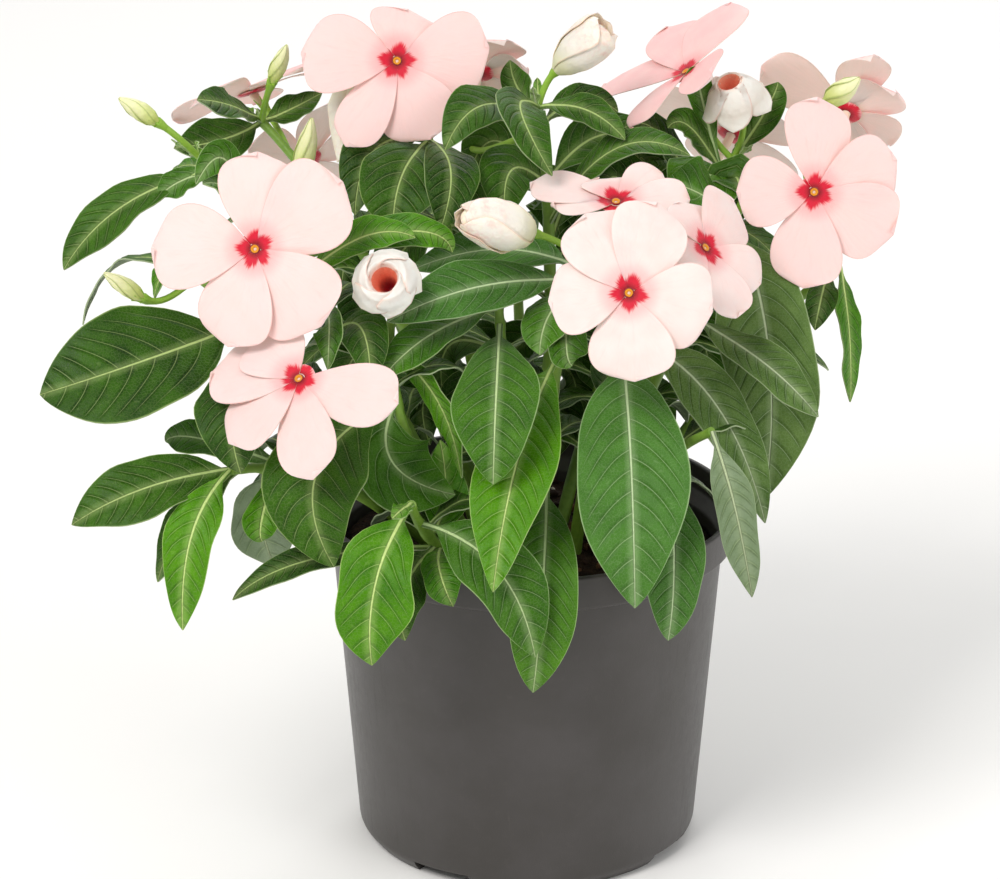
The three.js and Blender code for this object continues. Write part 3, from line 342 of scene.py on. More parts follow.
# Leaves of each stem: the place along it that they grow from, the middle and tip of the rib as the view shows
# them, with their depth Y, the width, the way the upper face looks (azimuth and elevation in degrees), its
# look, and the share of the rib that is stalk. The ones in front come first, then the small and inner ones.
LEAVES = {
    "upper_left": [
        (0.95, (124, 206, 0), (64, 270, -8), 15, (-105, 52), "deep", 0.16),
        (0.85, (222, 158, -2), (196, 184, -10), 10, (-75, 20), "fresh"),
        (0.95, (180, 182, 2), (160, 197, 0), 9, (-90, 50), "fresh"),
        (0.95, (188, 166, 14), (172, 173, 18), 8, (-90, 70), "bright"),
        (0.85, (222, 186, -4), (203, 184, -10), 9, (-90, 50), "fresh"),
    ],
    "back_left": [
        (1, (222, 140, 38), (174, 148, 28), 15, (-95, 38), "deep"),
        (1, (290, 110, 50), (322, 93, 54), 9, (-90, 50), "deep"),
        (1, (230, 106, 32), (197, 100, 24), 12, (-90, 50), "deep"),
        (0.45, (360, 350, 40), (335, 400, 34), 15, (-110, 25), "deep"),
        (0.7, (345, 240, 44), (340, 300, 40), 15, (-95, 30), "deep"),
        (0.3, (400, 400, 34), (385, 450, 30), 15, (-100, 20), "deep"),
        (0.55, (365, 300, 42), (352, 345, 38), 16, (-95, 25), "deep"),
    ],
    "left": [
        (0.95, (400, 232, -24), (452, 252, -26), 10, (-90, 45), "bright"),
        (0.85, (362, 238, -28), (415, 238, -32), 11, (-90, 50), "bright"),
        (0.65, (362, 330, -40), (370, 382, -48), 14, (-80, 30), "deep"),
        (0.7, (330, 325, -44), (328, 370, -50), 9, (-120, 20), "fresh"),
    ],
    "outer_left": [
        (1, (124, 262, -10), (83, 325, -14), 11, (165, 38), "deep"),
        (0.8, (142, 362, -42), (40, 395, -48), 34, (-95, 42), "deep", 0.12),
        (0.75, (234, 400, -56), (241, 473, -66), 21, (-110, 15), "deep"),
        (1, (168, 272, -20), (155, 298, -24), 9, (-150, 20), "bright"),
    ],
    "low_left": [
        (0.7, (205, 440, -30), (166, 442, -26), 11, (-90, 50), "fresh"),
        (0.95, (150, 487, -62), (72, 525, -66), 18.5, (-95, 45), "deep"),
        (0.95, (188, 520, -56), (158, 582, -58), 13, (-140, 20), "deep"),
        (1, (192, 535, -70), (183, 630, -74), 14, (-100, 10), "bright"),
        (0.85, (262, 522, -46), (275, 566, -44), 19, (80, -10), "greyish"),
        (0.8, (262, 518, -60), (262, 541, -62), 10, (-90, 20), "bright"),
    ],
    "front_left": [
        (1, (376, 582, -82), (372, 665, -84), 22, (-98, 12), "bright"),
        (0.5, (312, 560, -64), (233, 600, -68), 9, (-60, 60), "deep"),
        (0.55, (404, 590, -68), (405, 640, -70), 12, (-80, 10), "deep"),
        (0.5, (440, 572, -68), (453, 606, -70), 11, (-90, 15), "bright"),
        (0.8, (496, 568, -75), (535, 657, -77), 20, (-75, 25), "fresh"),
        (0.65, (445, 500, -43), (440, 440, -36), 12, (-90, 20), "bright"),
        (1, (402, 510, -74), (392, 519, -78), 5, (-90, 50), "bright"),
    ],
    "mid_left": [
        (0.65, (318, 470, -66), (334, 567, -72), 27, (-100, 22), "deep"),
        (0.65, (392, 462, -49), (455, 495, -49), 24, (-85, 42), "fresh"),
        (0.85, (438, 400, -38), (462, 478, -42), 9, (-150, 30), "bright"),
    ],
    "centre_left": [
        (0.85, (496, 398, -56), (493, 484, -70), 23, (-92, 22), "fresh"),
        (0.95, (430, 336, -34), (382, 380, -44), 13, (-110, 45), "fresh"),
        (0.6, (470, 400, -8), (462, 465, -14), 17, (-100, 20), "deep"),
        (0.7, (450, 345, 0), (444, 402, -6), 15, (-95, 30), "deep"),
    ],
    "centre": [
        (0.65, (519, 456, -58), (493, 592, -85), 21, (-100, 25), "bright"),
        (0.35, (544, 572, -66), (533, 692, -70), 20, (-88, 15), "fresh", 0.2),
        (0.9, (480, 287, -34), (388, 322, -42), 17, (-95, 45), "bluish"),
        (0.85, (548, 318, -32), (540, 355, -40), 14, (-110, 25), "fresh"),
        (0.9, (566, 340, -36), (572, 366, -42), 12, (-80, 30), "fresh"),
        (0.95, (500, 250, 2), (412, 270, 4), 17, (-90, 55), "bluish"),
    ],
    "right_front": [
        (0.8, (631, 462, -56), (635, 608, -74), 31, (-92, 15), "bluish"),
        (0.85, (712, 400, -30), (765, 523, -38), 17, (-70, 45), "greyish"),
    ],
    "low_right": [
        (0.65, (674, 556, -62), (668, 640, -66), 17, (-80, 15), "bluish"),
        (1, (735, 508, -56), (752, 597, -52), 11.5, (100, 10), "greyish"),
    ],
    "right": [
        (0.8, (762, 362, -26), (818, 417, -34), 13, (-80, 50), "greyish"),
    ],
    "right_up": [
        (0.95, (768, 345, -10), (765, 498, -18), 28, (-85, 15), "greyish"),
        (0.95, (702, 196, 10), (665, 182, 10), 24, (-90, 60), "fresh"),
        (0.4, (650, 400, 34), (665, 455, 28), 15, (-80, 20), "deep"),
        (0.65, (700, 330, 34), (715, 400, 30), 16, (-85, 25), "deep"),
        (1, (735, 180, 30), (728, 238, 26), 16, (-90, 35), "deep"),
    ],
    "far_right": [
        (1, (848, 325, 12), (850, 402, 8), 10, (-40, 20), "bright"),
        (0.95, (822, 295, 6), (815, 330, 2), 9, (-90, 20), "deep"),
    ],
    "top_right": [
        (0.85, (660, 135, 35), (625, 128, 33), 11, (-90, 60), "deep"),
        (0.95, (690, 128, 32), (668, 128, 28), 10, (-90, 50), "deep"),
        (1, (765, 112, 44), (778, 82, 46), 10, (-90, 20), "deep"),
        (0.95, (700, 90, 36), (700, 75, 36), 8, (-90, 10), "fresh"),
        (0.45, (600, 400, 42), (590, 450, 36), 15, (-95, 20), "deep"),
        (0.55, (660, 330, 44), (690, 390, 40), 17, (-80, 25), "deep"),
        (0.75, (650, 215, 46), (640, 280, 44), 16, (-90, 30), "deep"),
        (0.8, (700, 230, 50), (720, 290, 46), 16, (-80, 30), "deep"),
        (0.6, (620, 180, 38), (590, 225, 32), 18, (-95, 35), "deep"),
        (0.95, (706, 180, 28), (684, 222, 16), 23, (-95, 40), "fresh"),
        (0.7, (640, 160, 44), (668, 205, 40), 16, (-90, 40), "deep"),
    ],
    "top_centre": [
        (0.7, (615, 150, 10), (690, 156, 6), 12, (-90, 60), "deep"),
        (0.95, (485, 105, 8), (445, 150, -2), 15, (-90, 50), "deep"),
        (1, (520, 110, 0), (552, 176, -12), 15, (-60, 45), "deep"),
        (1, (518, 88, 34), (510, 60, 38), 9, (-90, 0), "deep"),
        (1, (585, 110, 16), (625, 140, 8), 10, (-90, 50), "deep"),
        (0.95, (580, 100, 34), (618, 112, 36), 10, (-90, 40), "deep"),
        (0.8, (512, 170, 8), (505, 220, 2), 17, (-90, 30), "deep"),
        (0.45, (515, 350, 34), (495, 410, 30), 16, (-100, 25), "deep"),
        (0.45, (590, 350, 36), (610, 405, 32), 16, (-75, 25), "deep"),
        (0.6, (585, 250, 36), (620, 300, 34), 16, (-80, 30), "deep"),
        (0.25, (560, 410, 30), (560, 455, 24), 14, (-90, 20), "deep"),
        (0.8, (600, 136, 34), (655, 152, 30), 16, (-90, 50), "deep"),
        (0.65, (575, 190, 36), (585, 245, 32), 16, (-85, 30), "deep"),
        (0.6, (480, 205, 34), (455, 245, 30), 16, (-95, 35), "deep"),
        (0.35, (572, 375, 34), (580, 435, 30), 16, (-90, 20), "deep"),
        (0.75, (500, 142, 38), (468, 178, 36), 16, (-90, 40), "deep"),
        (0.75, (550, 190, 40), (562, 248, 38), 16, (-90, 30), "deep"),
    ],
    "top_left": [
        (0.95, (402, 176, 2), (393, 230, -6), 24, (-95, 35), "deep"),
        (0.95, (450, 170, 0), (440, 230, -8), 16, (-70, 35), "deep"),
        (0.95, (375, 150, 16), (355, 215, 6), 16, (-100, 35), "deep"),
        (0.45, (425, 345, 34), (400, 400, 30), 16, (-105, 25), "deep"),
        (0.45, (485, 350, 36), (505, 410, 32), 16, (-75, 25), "deep"),
        (0.7, (408, 245, 34), (380, 300, 30), 16, (-100, 30), "deep"),
        (0.7, (470, 235, 36), (500, 290, 32), 16, (-80, 30), "deep"),
        (0.3, (428, 395, 28), (430, 445, 24), 16, (-90, 20), "deep"),
    ],
}

# Blooms: the stem and the place along it, the mouth of the tube, the way the bloom looks and how pink it is.
# The pink is partly the petals' blush and partly painted light: the blooms at the back have more of it for
# the glow of light shining through them.
BLOOMS = {
    "bloom_left": ("left", 1, seen(255, 249, -44), (-98, 22), 0.3),
    "bloom_low_left": ("mid_left", 0.7, seen(299, 379, -62), (-118, 48), 0.3),
    "bloom_top_left": ("top_left", 1, seen(397, 61, 22), (-90, 28), 0.45),
    "bloom_centre_right": ("right_front", 1, seen(629, 293, -46), (-95, 28), 0.05),
    "bloom_slanting": ("right", 1, seen(705, 248, -26), (-40, 40), 0.1),
    "bloom_flat": ("centre", 1, seen(616, 202, -12), (-90, 66), 0.1),
    "bloom_right": ("far_right", 1, seen(814, 192, 8), (-85, 22), 0.42),
    "bloom_top_right": ("top_right", 1, seen(686, 72, 38), (-168, 55), 0.75),
    "bloom_back_left": ("back_left", 0.9, seen(252, 92, 62), (130, 62), 0.7),
    "bloom_back_right": ("far_right", 0.97, seen(846, 112, 54), (75, 32), 0.8),
    "bloom_behind_top_left": ("top_centre", 0.95, seen(478, 72, 62), (80, 40), 0.5),
    "bloom_back_1": ("back_1", 1, place(-66, 90, 176), (125, 30), 0.4),
    "bloom_back_2": ("back_3", 1, place(62, 92, 184), (60, 35), 0.4),
}

# Where the view shows the tips of a bloom's petals, with the width of each. The other blooms are even stars.
PETAL_TIPS = {
    "bloom_left": [(262, 152, 20), (346, 186, 24), (320, 328, 24), (222, 345, 20), (152, 240, 22)],
    "bloom_low_left": [(262, 338, 18), (212, 372, 19), (225, 440, 18), (308, 482, 16), (396, 412, 17)],
    "bloom_top_left": [(302, 46, 22), (412, 10, 19), (490, 56, 22), (426, 141, 21), (344, 146, 14)],
    "bloom_centre_right": [(588, 212, 20), (665, 205, 20), (712, 315, 22), (630, 382, 22), (548, 300, 19)],
    "bloom_slanting": [(680, 200, 17), (735, 205, 18), (757, 290, 17), (735, 318, 14), (672, 262, 16)],
    "bloom_flat": [(532, 180, 15), (550, 205, 13), (600, 178, 13), (665, 180, 15), (690, 205, 15)],
    "bloom_right": [(822, 97, 18), (736, 190, 19), (798, 288, 19), (892, 238, 21), (898, 165, 19)],
    "bloom_top_right": [(737, 3, 19), (676, 24, 17), (606, 84, 18), (628, 128, 16), (712, 78, 16)],
    "bloom_back_right": [(868, 55, 14), (893, 92, 17), (893, 145, 17), (840, 150, 15), (757, 74, 19)],
    "bloom_behind_top_left": [(528, 72, 17), (505, 40, 16), (440, 40, 16), (440, 100, 16), (505, 110, 16)],
}

# The calyxes of the blooms whose tubes bend.
CALYXES = {
    "bloom_top_right": place(51, 40, 203),
    "bloom_back_left": place(-76, 56, 201),
}

# Buds and the spent bloom: the stem and the place along it, the kind, the base, the tip and the width.
BUDS = {
    "bud_1": ("upper_left", 1, "closed", seen(157, 122, 0), seen(119, 98, -4), 5.5),
    "bud_2": ("back_left", 1, "closed", seen(272, 82, 34), seen(287, 45, 30), 5),
    "bud_3": ("back_left", 0.85, "closed", seen(300, 180, 22), seen(312, 118, 20), 6.5),
    "bud_4": ("outer_left", 1, "closed", seen(143, 298, -26), seen(104, 273, -30), 5),
    "bud_5": ("top_centre", 1, "plump", seen(556, 71, 24), seen(607, 25, 22), 13.5),
    "bud_6": ("centre", 1, "opening", seen(533, 233, -24), seen(460, 216, -36), 15),
    "bud_7": ("mid_left", 1, "half_open", seen(398, 300, -30), seen(383, 278, -46), 18.5),
    "bud_8": ("top_right", 1, "reflexed", seen(742, 118, 38), seen(729, 82, 32), 18.5),
    "bud_9": ("far_right", 1, "closed", seen(826, 103, 36), seen(860, 78, 34), 7),
    "bloom_spent": ("top_left", 1, "spent", place(-52, 36, 218), place(-53, 22, 196), 10),
}


# Vectors and curves


def direction(azimuth_deg, elevation_deg):
    azimuth = math.radians(azimuth_deg)
    elevation = math.radians(elevation_deg)
    flat = math.cos(elevation)
    return Vector((math.cos(azimuth) * flat, math.sin(azimuth) * flat, math.sin(elevation)))


class Bow:
    """A smooth arc from a start, through a middle at its half way, to an end."""

    def __init__(self, start, middle, end):
        self.start = start
        self.pull = middle * 2 - (start + end) / 2
        self.end = end

    def point(self, t):
        return self.start * (1 - t) ** 2 + self.pull * (2 * t * (1 - t)) + self.end * t**2

    def tangent(self, t):
        return ((self.pull - self.start) * (1 - t) + (self.end - self.pull) * t).normalized()

    def length(self):
        steps = [self.point(i / BOW_STEPS) for i in range(BOW_STEPS + 1)]
        return sum((b - a).length for a, b in zip(steps, steps[1:]))


def between(a, b, share):
    return a + (b - a) * share


def eased(share):
    share = min(max(share, 0), 1)
    return share * share * (3 - 2 * share)


def along_profile(profile, share):
    """The value of a list of (place, value) pairs at a place, eased between the pairs."""
    for (near, low), (far, high) in zip(profile, profile[1:]):
        if share <= far:
            return between(low, high, (share - near) / (far - near))
    return profile[-1][1]


def beside(axis):
    """A direction well away from an axis, to turn its rings from."""
    return Vector((1, 0, 0)) if abs(axis.x) < 0.8 else Vector((0, 1, 0))


def axes_across(axis, aside=None):
    aside = aside or beside(axis)
    across = (aside - axis * aside.dot(axis)).normalized()
    return across, axis.cross(across)


def ring_across(centre, axis, aside, sides, radius_at):
    """A round ring across an axis, with the radius of each corner from a function of its turn."""
    across, up = axes_across(axis, aside)
    ring = []
    for k in range(sides):
        turn = 2 * math.pi * k / sides
        radius = radius_at(turn)
        ring.append(centre + across * (radius * math.cos(turn)) + up * (radius * math.sin(turn)))
    return ring


# Shapes


class Shape:
    """Gathers a piece in millimetres. Each point carries three pairs of values for the materials: a place on
    the flat surface in millimetres, the same as shares of the surface, and a pair of tints."""

    def __init__(self):
        self.points = []
        self.values = []
        self.faces = []
        self.finishes = []

    def add_point(self, point, flat=(0, 0), share=(0, 0), tint=(0, 0)):
        self.points.append(point)
        self.values.append((flat, share, tint))

    def add_face(self, corners, finish):
        self.faces.append(corners)
        self.finishes.append(finish)

    def add_bands(self, first, size, count, finish_of):
        """The faces between a number of rings of points, from the first ring's first point on."""
        for i in range(count - 1):
            for k in range(size):
                a = first + i * size + k
                b = first + i * size + (k + 1) % size
                self.add_face((a, b, b + size, a + size), finish_of(i, k))

    def skin(self, rings, finish_of, values_of):
        """Closes a list of rings into one body. finish_of gives a face's material from its ring and its place
        in it, and values_of a point's values in the same way."""
        size = len(rings[0])
        first = len(self.points)
        for i, ring in enumerate(rings):
            for k, point in enumerate(ring):
                self.add_point(point, *values_of(i, k))
        self.add_bands(first, size, len(rings), finish_of)
        last = first + (len(rings) - 1) * size
        self.add_face(tuple(first + k for k in range(size)), finish_of(0, 0))
        self.add_face(tuple(last + k for k in range(size)), finish_of(len(rings) - 1, 0))

    def plate(self, rows, finishes, tint):
        """A thin plate, closed round its edge. A row holds, for each column, the places above and below, and
        the flat place and share that both have."""
        columns = len(rows[0])
        size = 2 * columns
        first = len(self.points)
        for row in rows:
            for above, _, flat, share in row:
                self.add_point(above, flat, share, tint)
            for _, below, flat, share in row[::-1]:
                self.add_point(below, flat, share, tint)
        self.add_bands(first, size, len(rows), lambda i, k: finishes[0] if k < columns - 1 else finishes[1])
        for end in (first, first + (len(rows) - 1) * size):
            for k in range(columns - 1):
                self.add_face((end + k, end + k + 1, end + size - 2 - k, end + size - 1 - k), finishes[0])

    def mesh(self, name, materials, smooth_deg=50):
        """The piece as a mesh in metres, with its faces turned outwards and its values as UV maps."""
        names = list(dict.fromkeys(self.finishes))
        mesh = bpy.data.meshes.new(name)
        mesh.from_pydata([point * MM for point in self.points], [], self.faces)
        for finish in names:
            mesh.materials.append(materials[finish])
        mesh.polygons.foreach_set("material_index", [names.index(finish) for finish in self.finishes])
        for number, label in enumerate(("flat", "share", "tint")):
            layer = mesh.uv_layers.new(name=label)
            corners = [self.values[loop.vertex_index][number] for loop in mesh.loops]
            layer.data.foreach_set("uv", [value for pair in corners for value in pair])
        turned = bmesh.new()
        turned.from_mesh(mesh)
        bmesh.ops.recalc_face_normals(turned, faces=turned.faces)
        turned.to_mesh(mesh)
        turned.free()
        mesh.shade_smooth()
        mesh.set_sharp_from_angle(angle=math.radians(smooth_deg))
        return mesh


# Stems and leaves

bows = {name: Bow(*stem) for name, stem in STEMS.items()}


def add_tube(shape, bow, radius_at, steps, sides, finish, tint):
    """A tube along a bow, with its radius from a function of the share of its length."""
    aside = beside(bow.tangent(0.5))
    length = bow.length()
    shares = [i / steps for i in range(steps + 1)]
    rings = []
    for share in shares:
        radius = radius_at(share)
        rings.append(ring_across(bow.point(share), bow.tangent(share), aside, sides, lambda _: radius))
    shape.skin(
        rings,
        lambda i, k: finish,
        lambda i, k: ((k, shares[i] * length), (k / sides, shares[i]), tint),
    )


def half_width(share, width, stalk):
    """Half a blade's width at a share of its rib: a thin stalk, widest past the middle, a blunt point."""
    q = max((share - stalk) / (1 - stalk), 0)

    def swelling(p):
        return p**BLADE_SWELL * max(1 - p, 0) ** BLADE_TAPER

    widest = swelling(BLADE_SWELL / (BLADE_SWELL + BLADE_TAPER))
    least = PETIOLE_HALF_WIDTH if share < 0.5 else BLADE_TIP_HALF_WIDTH
    return max(width / 2 * swelling(q) / widest, least)


def add_leaf(shape, foot, leaf, look, chance):
    """A blade along an arched rib, keeled along it, with a rippled margin and a round stalk."""
    middle, tip, width, faces, stalk = leaf
    rib = Bow(foot, middle, tip)
    face = direction(*faces)
    length = rib.length()
    shift = chance.uniform(0, 2 * math.pi)
    tint = (chance.random(), width)
    uneven = MARGIN_UNEVEN[look] * chance.uniform(0.6, 1.4)
    rows = []
    for i in range(BLADE_STATIONS + 1):
        share = 1 - (1 - i / BLADE_STATIONS) ** BLADE_CROWDING
        centre = rib.point(share)
        along = rib.tangent(share)
        across = along.cross(face).normalized()
        up = across.cross(along)
        half = half_width(share, width, stalk)
        blade = eased((share - stalk * BLADE_ONSET[0]) / BLADE_ONSET[1])
        row = []
        for q in BLADE_COLUMNS:
            uneven_turn = UNEVEN_TURNS * share + shift + (UNEVEN_SHIFT if q < 0 else 0)
            bulge = 1 + uneven * math.sin(uneven_turn) * blade
            turn = BLADE_WAVE_TURNS * math.pi * share + (BLADE_WAVE_SHIFT if q < 0 else 0)
            ripple = MARGIN_RIPPLE * math.sin(MARGIN_RIPPLES * math.pi * share + shift + RIPPLE_SHIFT * q)
            wave = BLADE_WAVE * q * q * (math.sin(turn) + ripple) * math.sin(math.pi * share)
            keel = half * (BLADE_KEEL * math.sqrt(q * q + KEEL_ROUNDING) - BLADE_CURL * q * q)
            round_edge = math.sqrt(1 - PETIOLE_ROUNDNESS * q * q)
            thickness = between(PETIOLE_THICKNESS * round_edge, BLADE_THICKNESS, blade)
            rib_depth = RIB_HEIGHT * (1 - share) * math.exp(-((half * q / RIB_SPREAD) ** 2)) * blade
            spot = centre + across * (half * q * bulge) + up * (keel + wave)
            flat = (half * q, (share - stalk) * length)
            below = spot - up * (thickness / 2 + rib_depth)
            row.append((spot + up * (thickness / 2), below, flat, (q, (share - stalk) / (1 - stalk))))
        rows.append(row)
    shape.plate(rows, (look, look + "_under"), tint)


def reach_out(foot, azimuth, out, up):
    """A place beside a foot: so far out along an azimuth, and so far up."""
    return foot + direction(azimuth, 0) * out + Vector((0, 0, up))


def fan_leaves(name):
    """The leaves of a fan, each arching out from the stem and over."""
    leaves = []
    for at, azimuth, length in FANS[name]:
        foot = bows[name].point(at)
        middle, tip = (reach_out(foot, azimuth, out * length, up * length) for out, up in FAN_RIB)
        leaves.append((at, middle, tip, length * FAN_WIDTH, (azimuth, FAN_RISE_DEG), "deep"))
    return leaves


def side_leaves(name):
    """Pairs of leaves at the lower nodes of a stem, each pair across the one below. Those that would point
    to the front are left out, because the leaves there have their own places."""
    chance = random.Random("side " + name)
    leaves = []
    start = chance.uniform(0, 180)
    for number, at in enumerate(SIDE_NODES):
        foot = bows[name].point(at)
        for half in (0, 180):
            azimuth = start + 90 * number + half + chance.uniform(-SIDE_JITTER_DEG, SIDE_JITTER_DEG)
            if math.sin(math.radians(azimuth)) < SIDE_FRONT:
                continue
            length = chance.uniform(*SIDE_LENGTH)
            middle = reach_out(foot, azimuth, SIDE_MIDDLE[0] * length, SIDE_MIDDLE[1] * length)
            tip = reach_out(foot, azimuth, SIDE_REACH * length, -chance.uniform(*SIDE_DROP) * length)
            leaves.append((at, middle, tip, length * SIDE_WIDTH, (azimuth, FAN_RISE_DEG), "deep"))
    return leaves


def leaves_of(name):
    """All leaves of a stem in the form of the table of leaves, with their middles and tips as places."""
    placed = [(at, seen(*middle), seen(*tip), *rest) for at, middle, tip, *rest in LEAVES.get(name, [])]
    return placed + (fan_leaves(name) if name in FANS else side_leaves(name))


def add_tuft(shape, name, chance):
    """The youngest leaves, a small upright pair at the end of a stem."""
    tip = bows[name].point(1)
    axis = bows[name].tangent(1)
    turn = chance.uniform(0, 360)
    for k in range(2):
        out = direction(turn + 180 * k, TUFT_RISE_DEG)
        length = chance.uniform(*TUFT_LENGTH)
        middle = tip + axis * (TUFT_MIDDLE[0] * length) + out * (TUFT_MIDDLE[1] * length)
        end = tip + axis * (TUFT_TIP[0] * length) + out * (TUFT_TIP[1] * length)
        leaf = (middle, end, length * TUFT_WIDTH, (turn + 180 * k + 180, TUFT_FACE_DEG), TUFT_STALK)
        add_leaf(shape, tip - axis * TUFT_SINK, leaf, "bright", chance)


# Blooms


class Bloom:
    """Where a bloom stands: the way it looks, right and up as seen from its front, its throat, and its foot
    at the calyx."""

    def __init__(self, name):
        self.on, self.at, self.throat, faces, self.blush_and_backlight = BLOOMS[name]
        self.out = direction(*faces)
        self.right = Vector((0, 0, 1)).cross(self.out).normalized()
        self.up = self.out.cross(self.right)
        self.foot = CALYXES.get(name, self.throat - self.out * TUBE_LENGTH)
        self.axis = (self.throat - self.foot).normalized()
        self.petals = self.petals_of(PETAL_TIPS.get(name))

    def petals_of(self, tips):
        """Each petal's angle round the throat, as seen from the front, its reach and its width."""
        if not tips:
            return [(math.radians(STAR_START_DEG + 72 * k), STAR_REACH, STAR_WIDTH) for k in range(5)]
        petals = []
        for across, down, width in tips:
            sight = sight_line(across, down)
            far = (self.throat - VIEW_EYE).dot(self.out) / sight.dot(self.out)
            spoke = VIEW_EYE + sight * far - self.throat
            angle = math.atan2(spoke.dot(self.up), spoke.dot(self.right))
            petals.append((angle, spoke.length, width * PETAL_SPREAD))
        return sorted(petals)

    def rings(self, profile):
        """Rings round the throat from a profile of radii and rises along the way that the bloom looks."""
        rings = []
        for radius, rise in profile:
            centre = self.throat + self.out * rise
            rings.append(ring_across(centre, self.out, self.right, EYE_SIDES, lambda _: radius))
        return rings


def petal_half_width(share, width):
    """Half a petal's width: a slim foot that widens, and a broad rounded end."""
    foot = PETAL_ROOT * PETAL_ROOT_SHARE
    if share < PETAL_WIDEST:
        swell = 1 - (1 - share / PETAL_WIDEST) ** PETAL_FLANK
        return foot + (width / 2 - foot) * swell
    past = (share - PETAL_WIDEST) / (1 - PETAL_WIDEST)
    return width / 2 * max(1 - past**PETAL_ROUNDNESS, 0) ** (1 / PETAL_ROUNDNESS)


def add_petal(shape, bloom, angle, reach, width, chance):
    """A broad thin petal. One edge stands over the next petal's, and its end bends a little."""
    along = bloom.right * math.cos(angle) + bloom.up * math.sin(angle)
    aside = bloom.up * math.cos(angle) - bloom.right * math.sin(angle)
    skew = chance.uniform(*PETAL_SKEW)
    droop = chance.uniform(*PETAL_DROOP)
    shift = chance.uniform(0, 2 * math.pi)
    tint = (bloom.blush_and_backlight, chance.random())
    rows = []
    for i in range(PETAL_STATIONS + 1):
        share = math.sin(math.pi / 2 * i / PETAL_STATIONS)
        radius = PETAL_ROOT + (reach - PETAL_ROOT) * share
        half = max(petal_half_width(share, width), PETAL_LEAST)
        thickness = PETAL_THICKNESS * (1 - PETAL_THINNING * share)
        row = []
        for q in PETAL_COLUMNS:
            lean = PETAL_LEAN * q * min(share * PETAL_LEAN_ONSET, 1)
            bend = PETAL_CUP * math.sin(math.pi * min(share, 1) * PETAL_CUP_TURN) - droop * share**4
            turn = PETAL_WAVE_TURNS[0] * share + PETAL_WAVE_TURNS[1] * q + shift
            wave = PETAL_WAVE * q * q * share * math.sin(turn)
            edge = PETAL_EDGE_FALL * half * q * q * share
            sideways = half * q + skew * reach * share * share
            spot = bloom.throat + along * (radius * (1 - PETAL_END_ARCH * q * q)) + aside * sideways
            spot = spot + bloom.out * (lean + bend + wave - edge)
            lift = bloom.out * (thickness / 2)
            row.append((spot + lift, spot - lift, (sideways, radius), (q, share)))
        rows.append(row)
    shape.plate(rows, ("petal", "petal_under"), tint)


def add_bloom_tube(shape, bloom):
    """The slim tube from the calyx up to the throat, flared at the mouth."""
    rings = []
    for share, radius in TUBE_STATIONS:
        facing = bloom.axis.lerp(bloom.out, share).normalized()
        centre = between(bloom.foot, bloom.throat, share)
        rings.append(ring_across(centre, facing, bloom.right, TUBE_SIDES, lambda _: radius))
    length = (bloom.throat - bloom.foot).length

    def values_of(i, k):
        share = TUBE_STATIONS[i][0]
        return (k, share * length), (0, share), (bloom.blush_and_backlight, 0.5)

    shape.skin(rings, lambda i, k: "tube", values_of)


def add_eye(shape, bloom):
    """The low ring round the mouth of the tube, yellow inside and crimson outside, with a pinhole."""
    rings = bloom.rings(EYE_PROFILE)
    shape.skin(rings, lambda i, k: "eye", lambda i, k: ((EYE_PROFILE[i][0], 0), (0, 0), (0, 0)))


def add_collar(shape, bloom):
    """The disc round the mouth where the petals grow together, just behind them."""

    def values_of(i, k):
        turn = 0.5 * math.sin(5 * math.pi * k / EYE_SIDES)
        radius = COLLAR_PROFILE[i][0]
        return (radius * math.sin(turn), radius * math.cos(turn)), (0, 0.2), (bloom.blush_and_backlight, 0.5)

    shape.skin(bloom.rings(COLLAR_PROFILE), lambda i, k: "petal", values_of)


def add_sepals(shape, base, axis, chance, length):
    """The slim green points that stand round the foot of a bloom's tube or a bud."""
    across, up = axes_across(axis)
    for k in range(SEPAL_COUNT):
        turn = 2 * math.pi * k / SEPAL_COUNT + chance.uniform(-SEPAL_JITTER, SEPAL_JITTER)
        out = across * math.cos(turn) + up * math.sin(turn)
        reach = length * chance.uniform(*SEPAL_REACH)
        start = base + out * (CALYX_RADIUS * SEPAL_SEAT) - axis * SEPAL_SINK
        middle = start + axis * (0.5 * reach) + out * SEPAL_BELLY
        bow = Bow(start, middle, start + axis * reach + out * SEPAL_SPREAD)
        tint = (chance.random(), SEPAL_FRESHNESS)
        add_tube(shape, bow, lambda t: between(*SEPAL_RADII, t), SEPAL_STEPS, SEPAL_SIDES, "stem", tint)


def add_bloom(shape, bloom, chance):
    for angle, reach, width in bloom.petals:
        add_petal(shape, bloom, angle, reach, width, chance)
    add_collar(shape, bloom)
    add_bloom_tube(shape, bloom)
    add_eye(shape, bloom)
    add_sepals(shape, bloom.foot, bloom.axis, chance, SEPAL_LENGTH)


# Buds


class Bud:
    """Where a bud stands: its foot, its tip, its axis with two directions across it, its length and width."""

    def __init__(self, name):
        self.on, self.at, self.kind, self.foot, self.tip, self.width = BUDS[name]
        self.axis = (self.tip - self.foot).normalized()
        self.across, self.up = axes_across(self.axis)
        self.length = (self.tip - self.foot).length
        self.finish = "closed_bud" if self.kind == "closed" else "pale_bud"


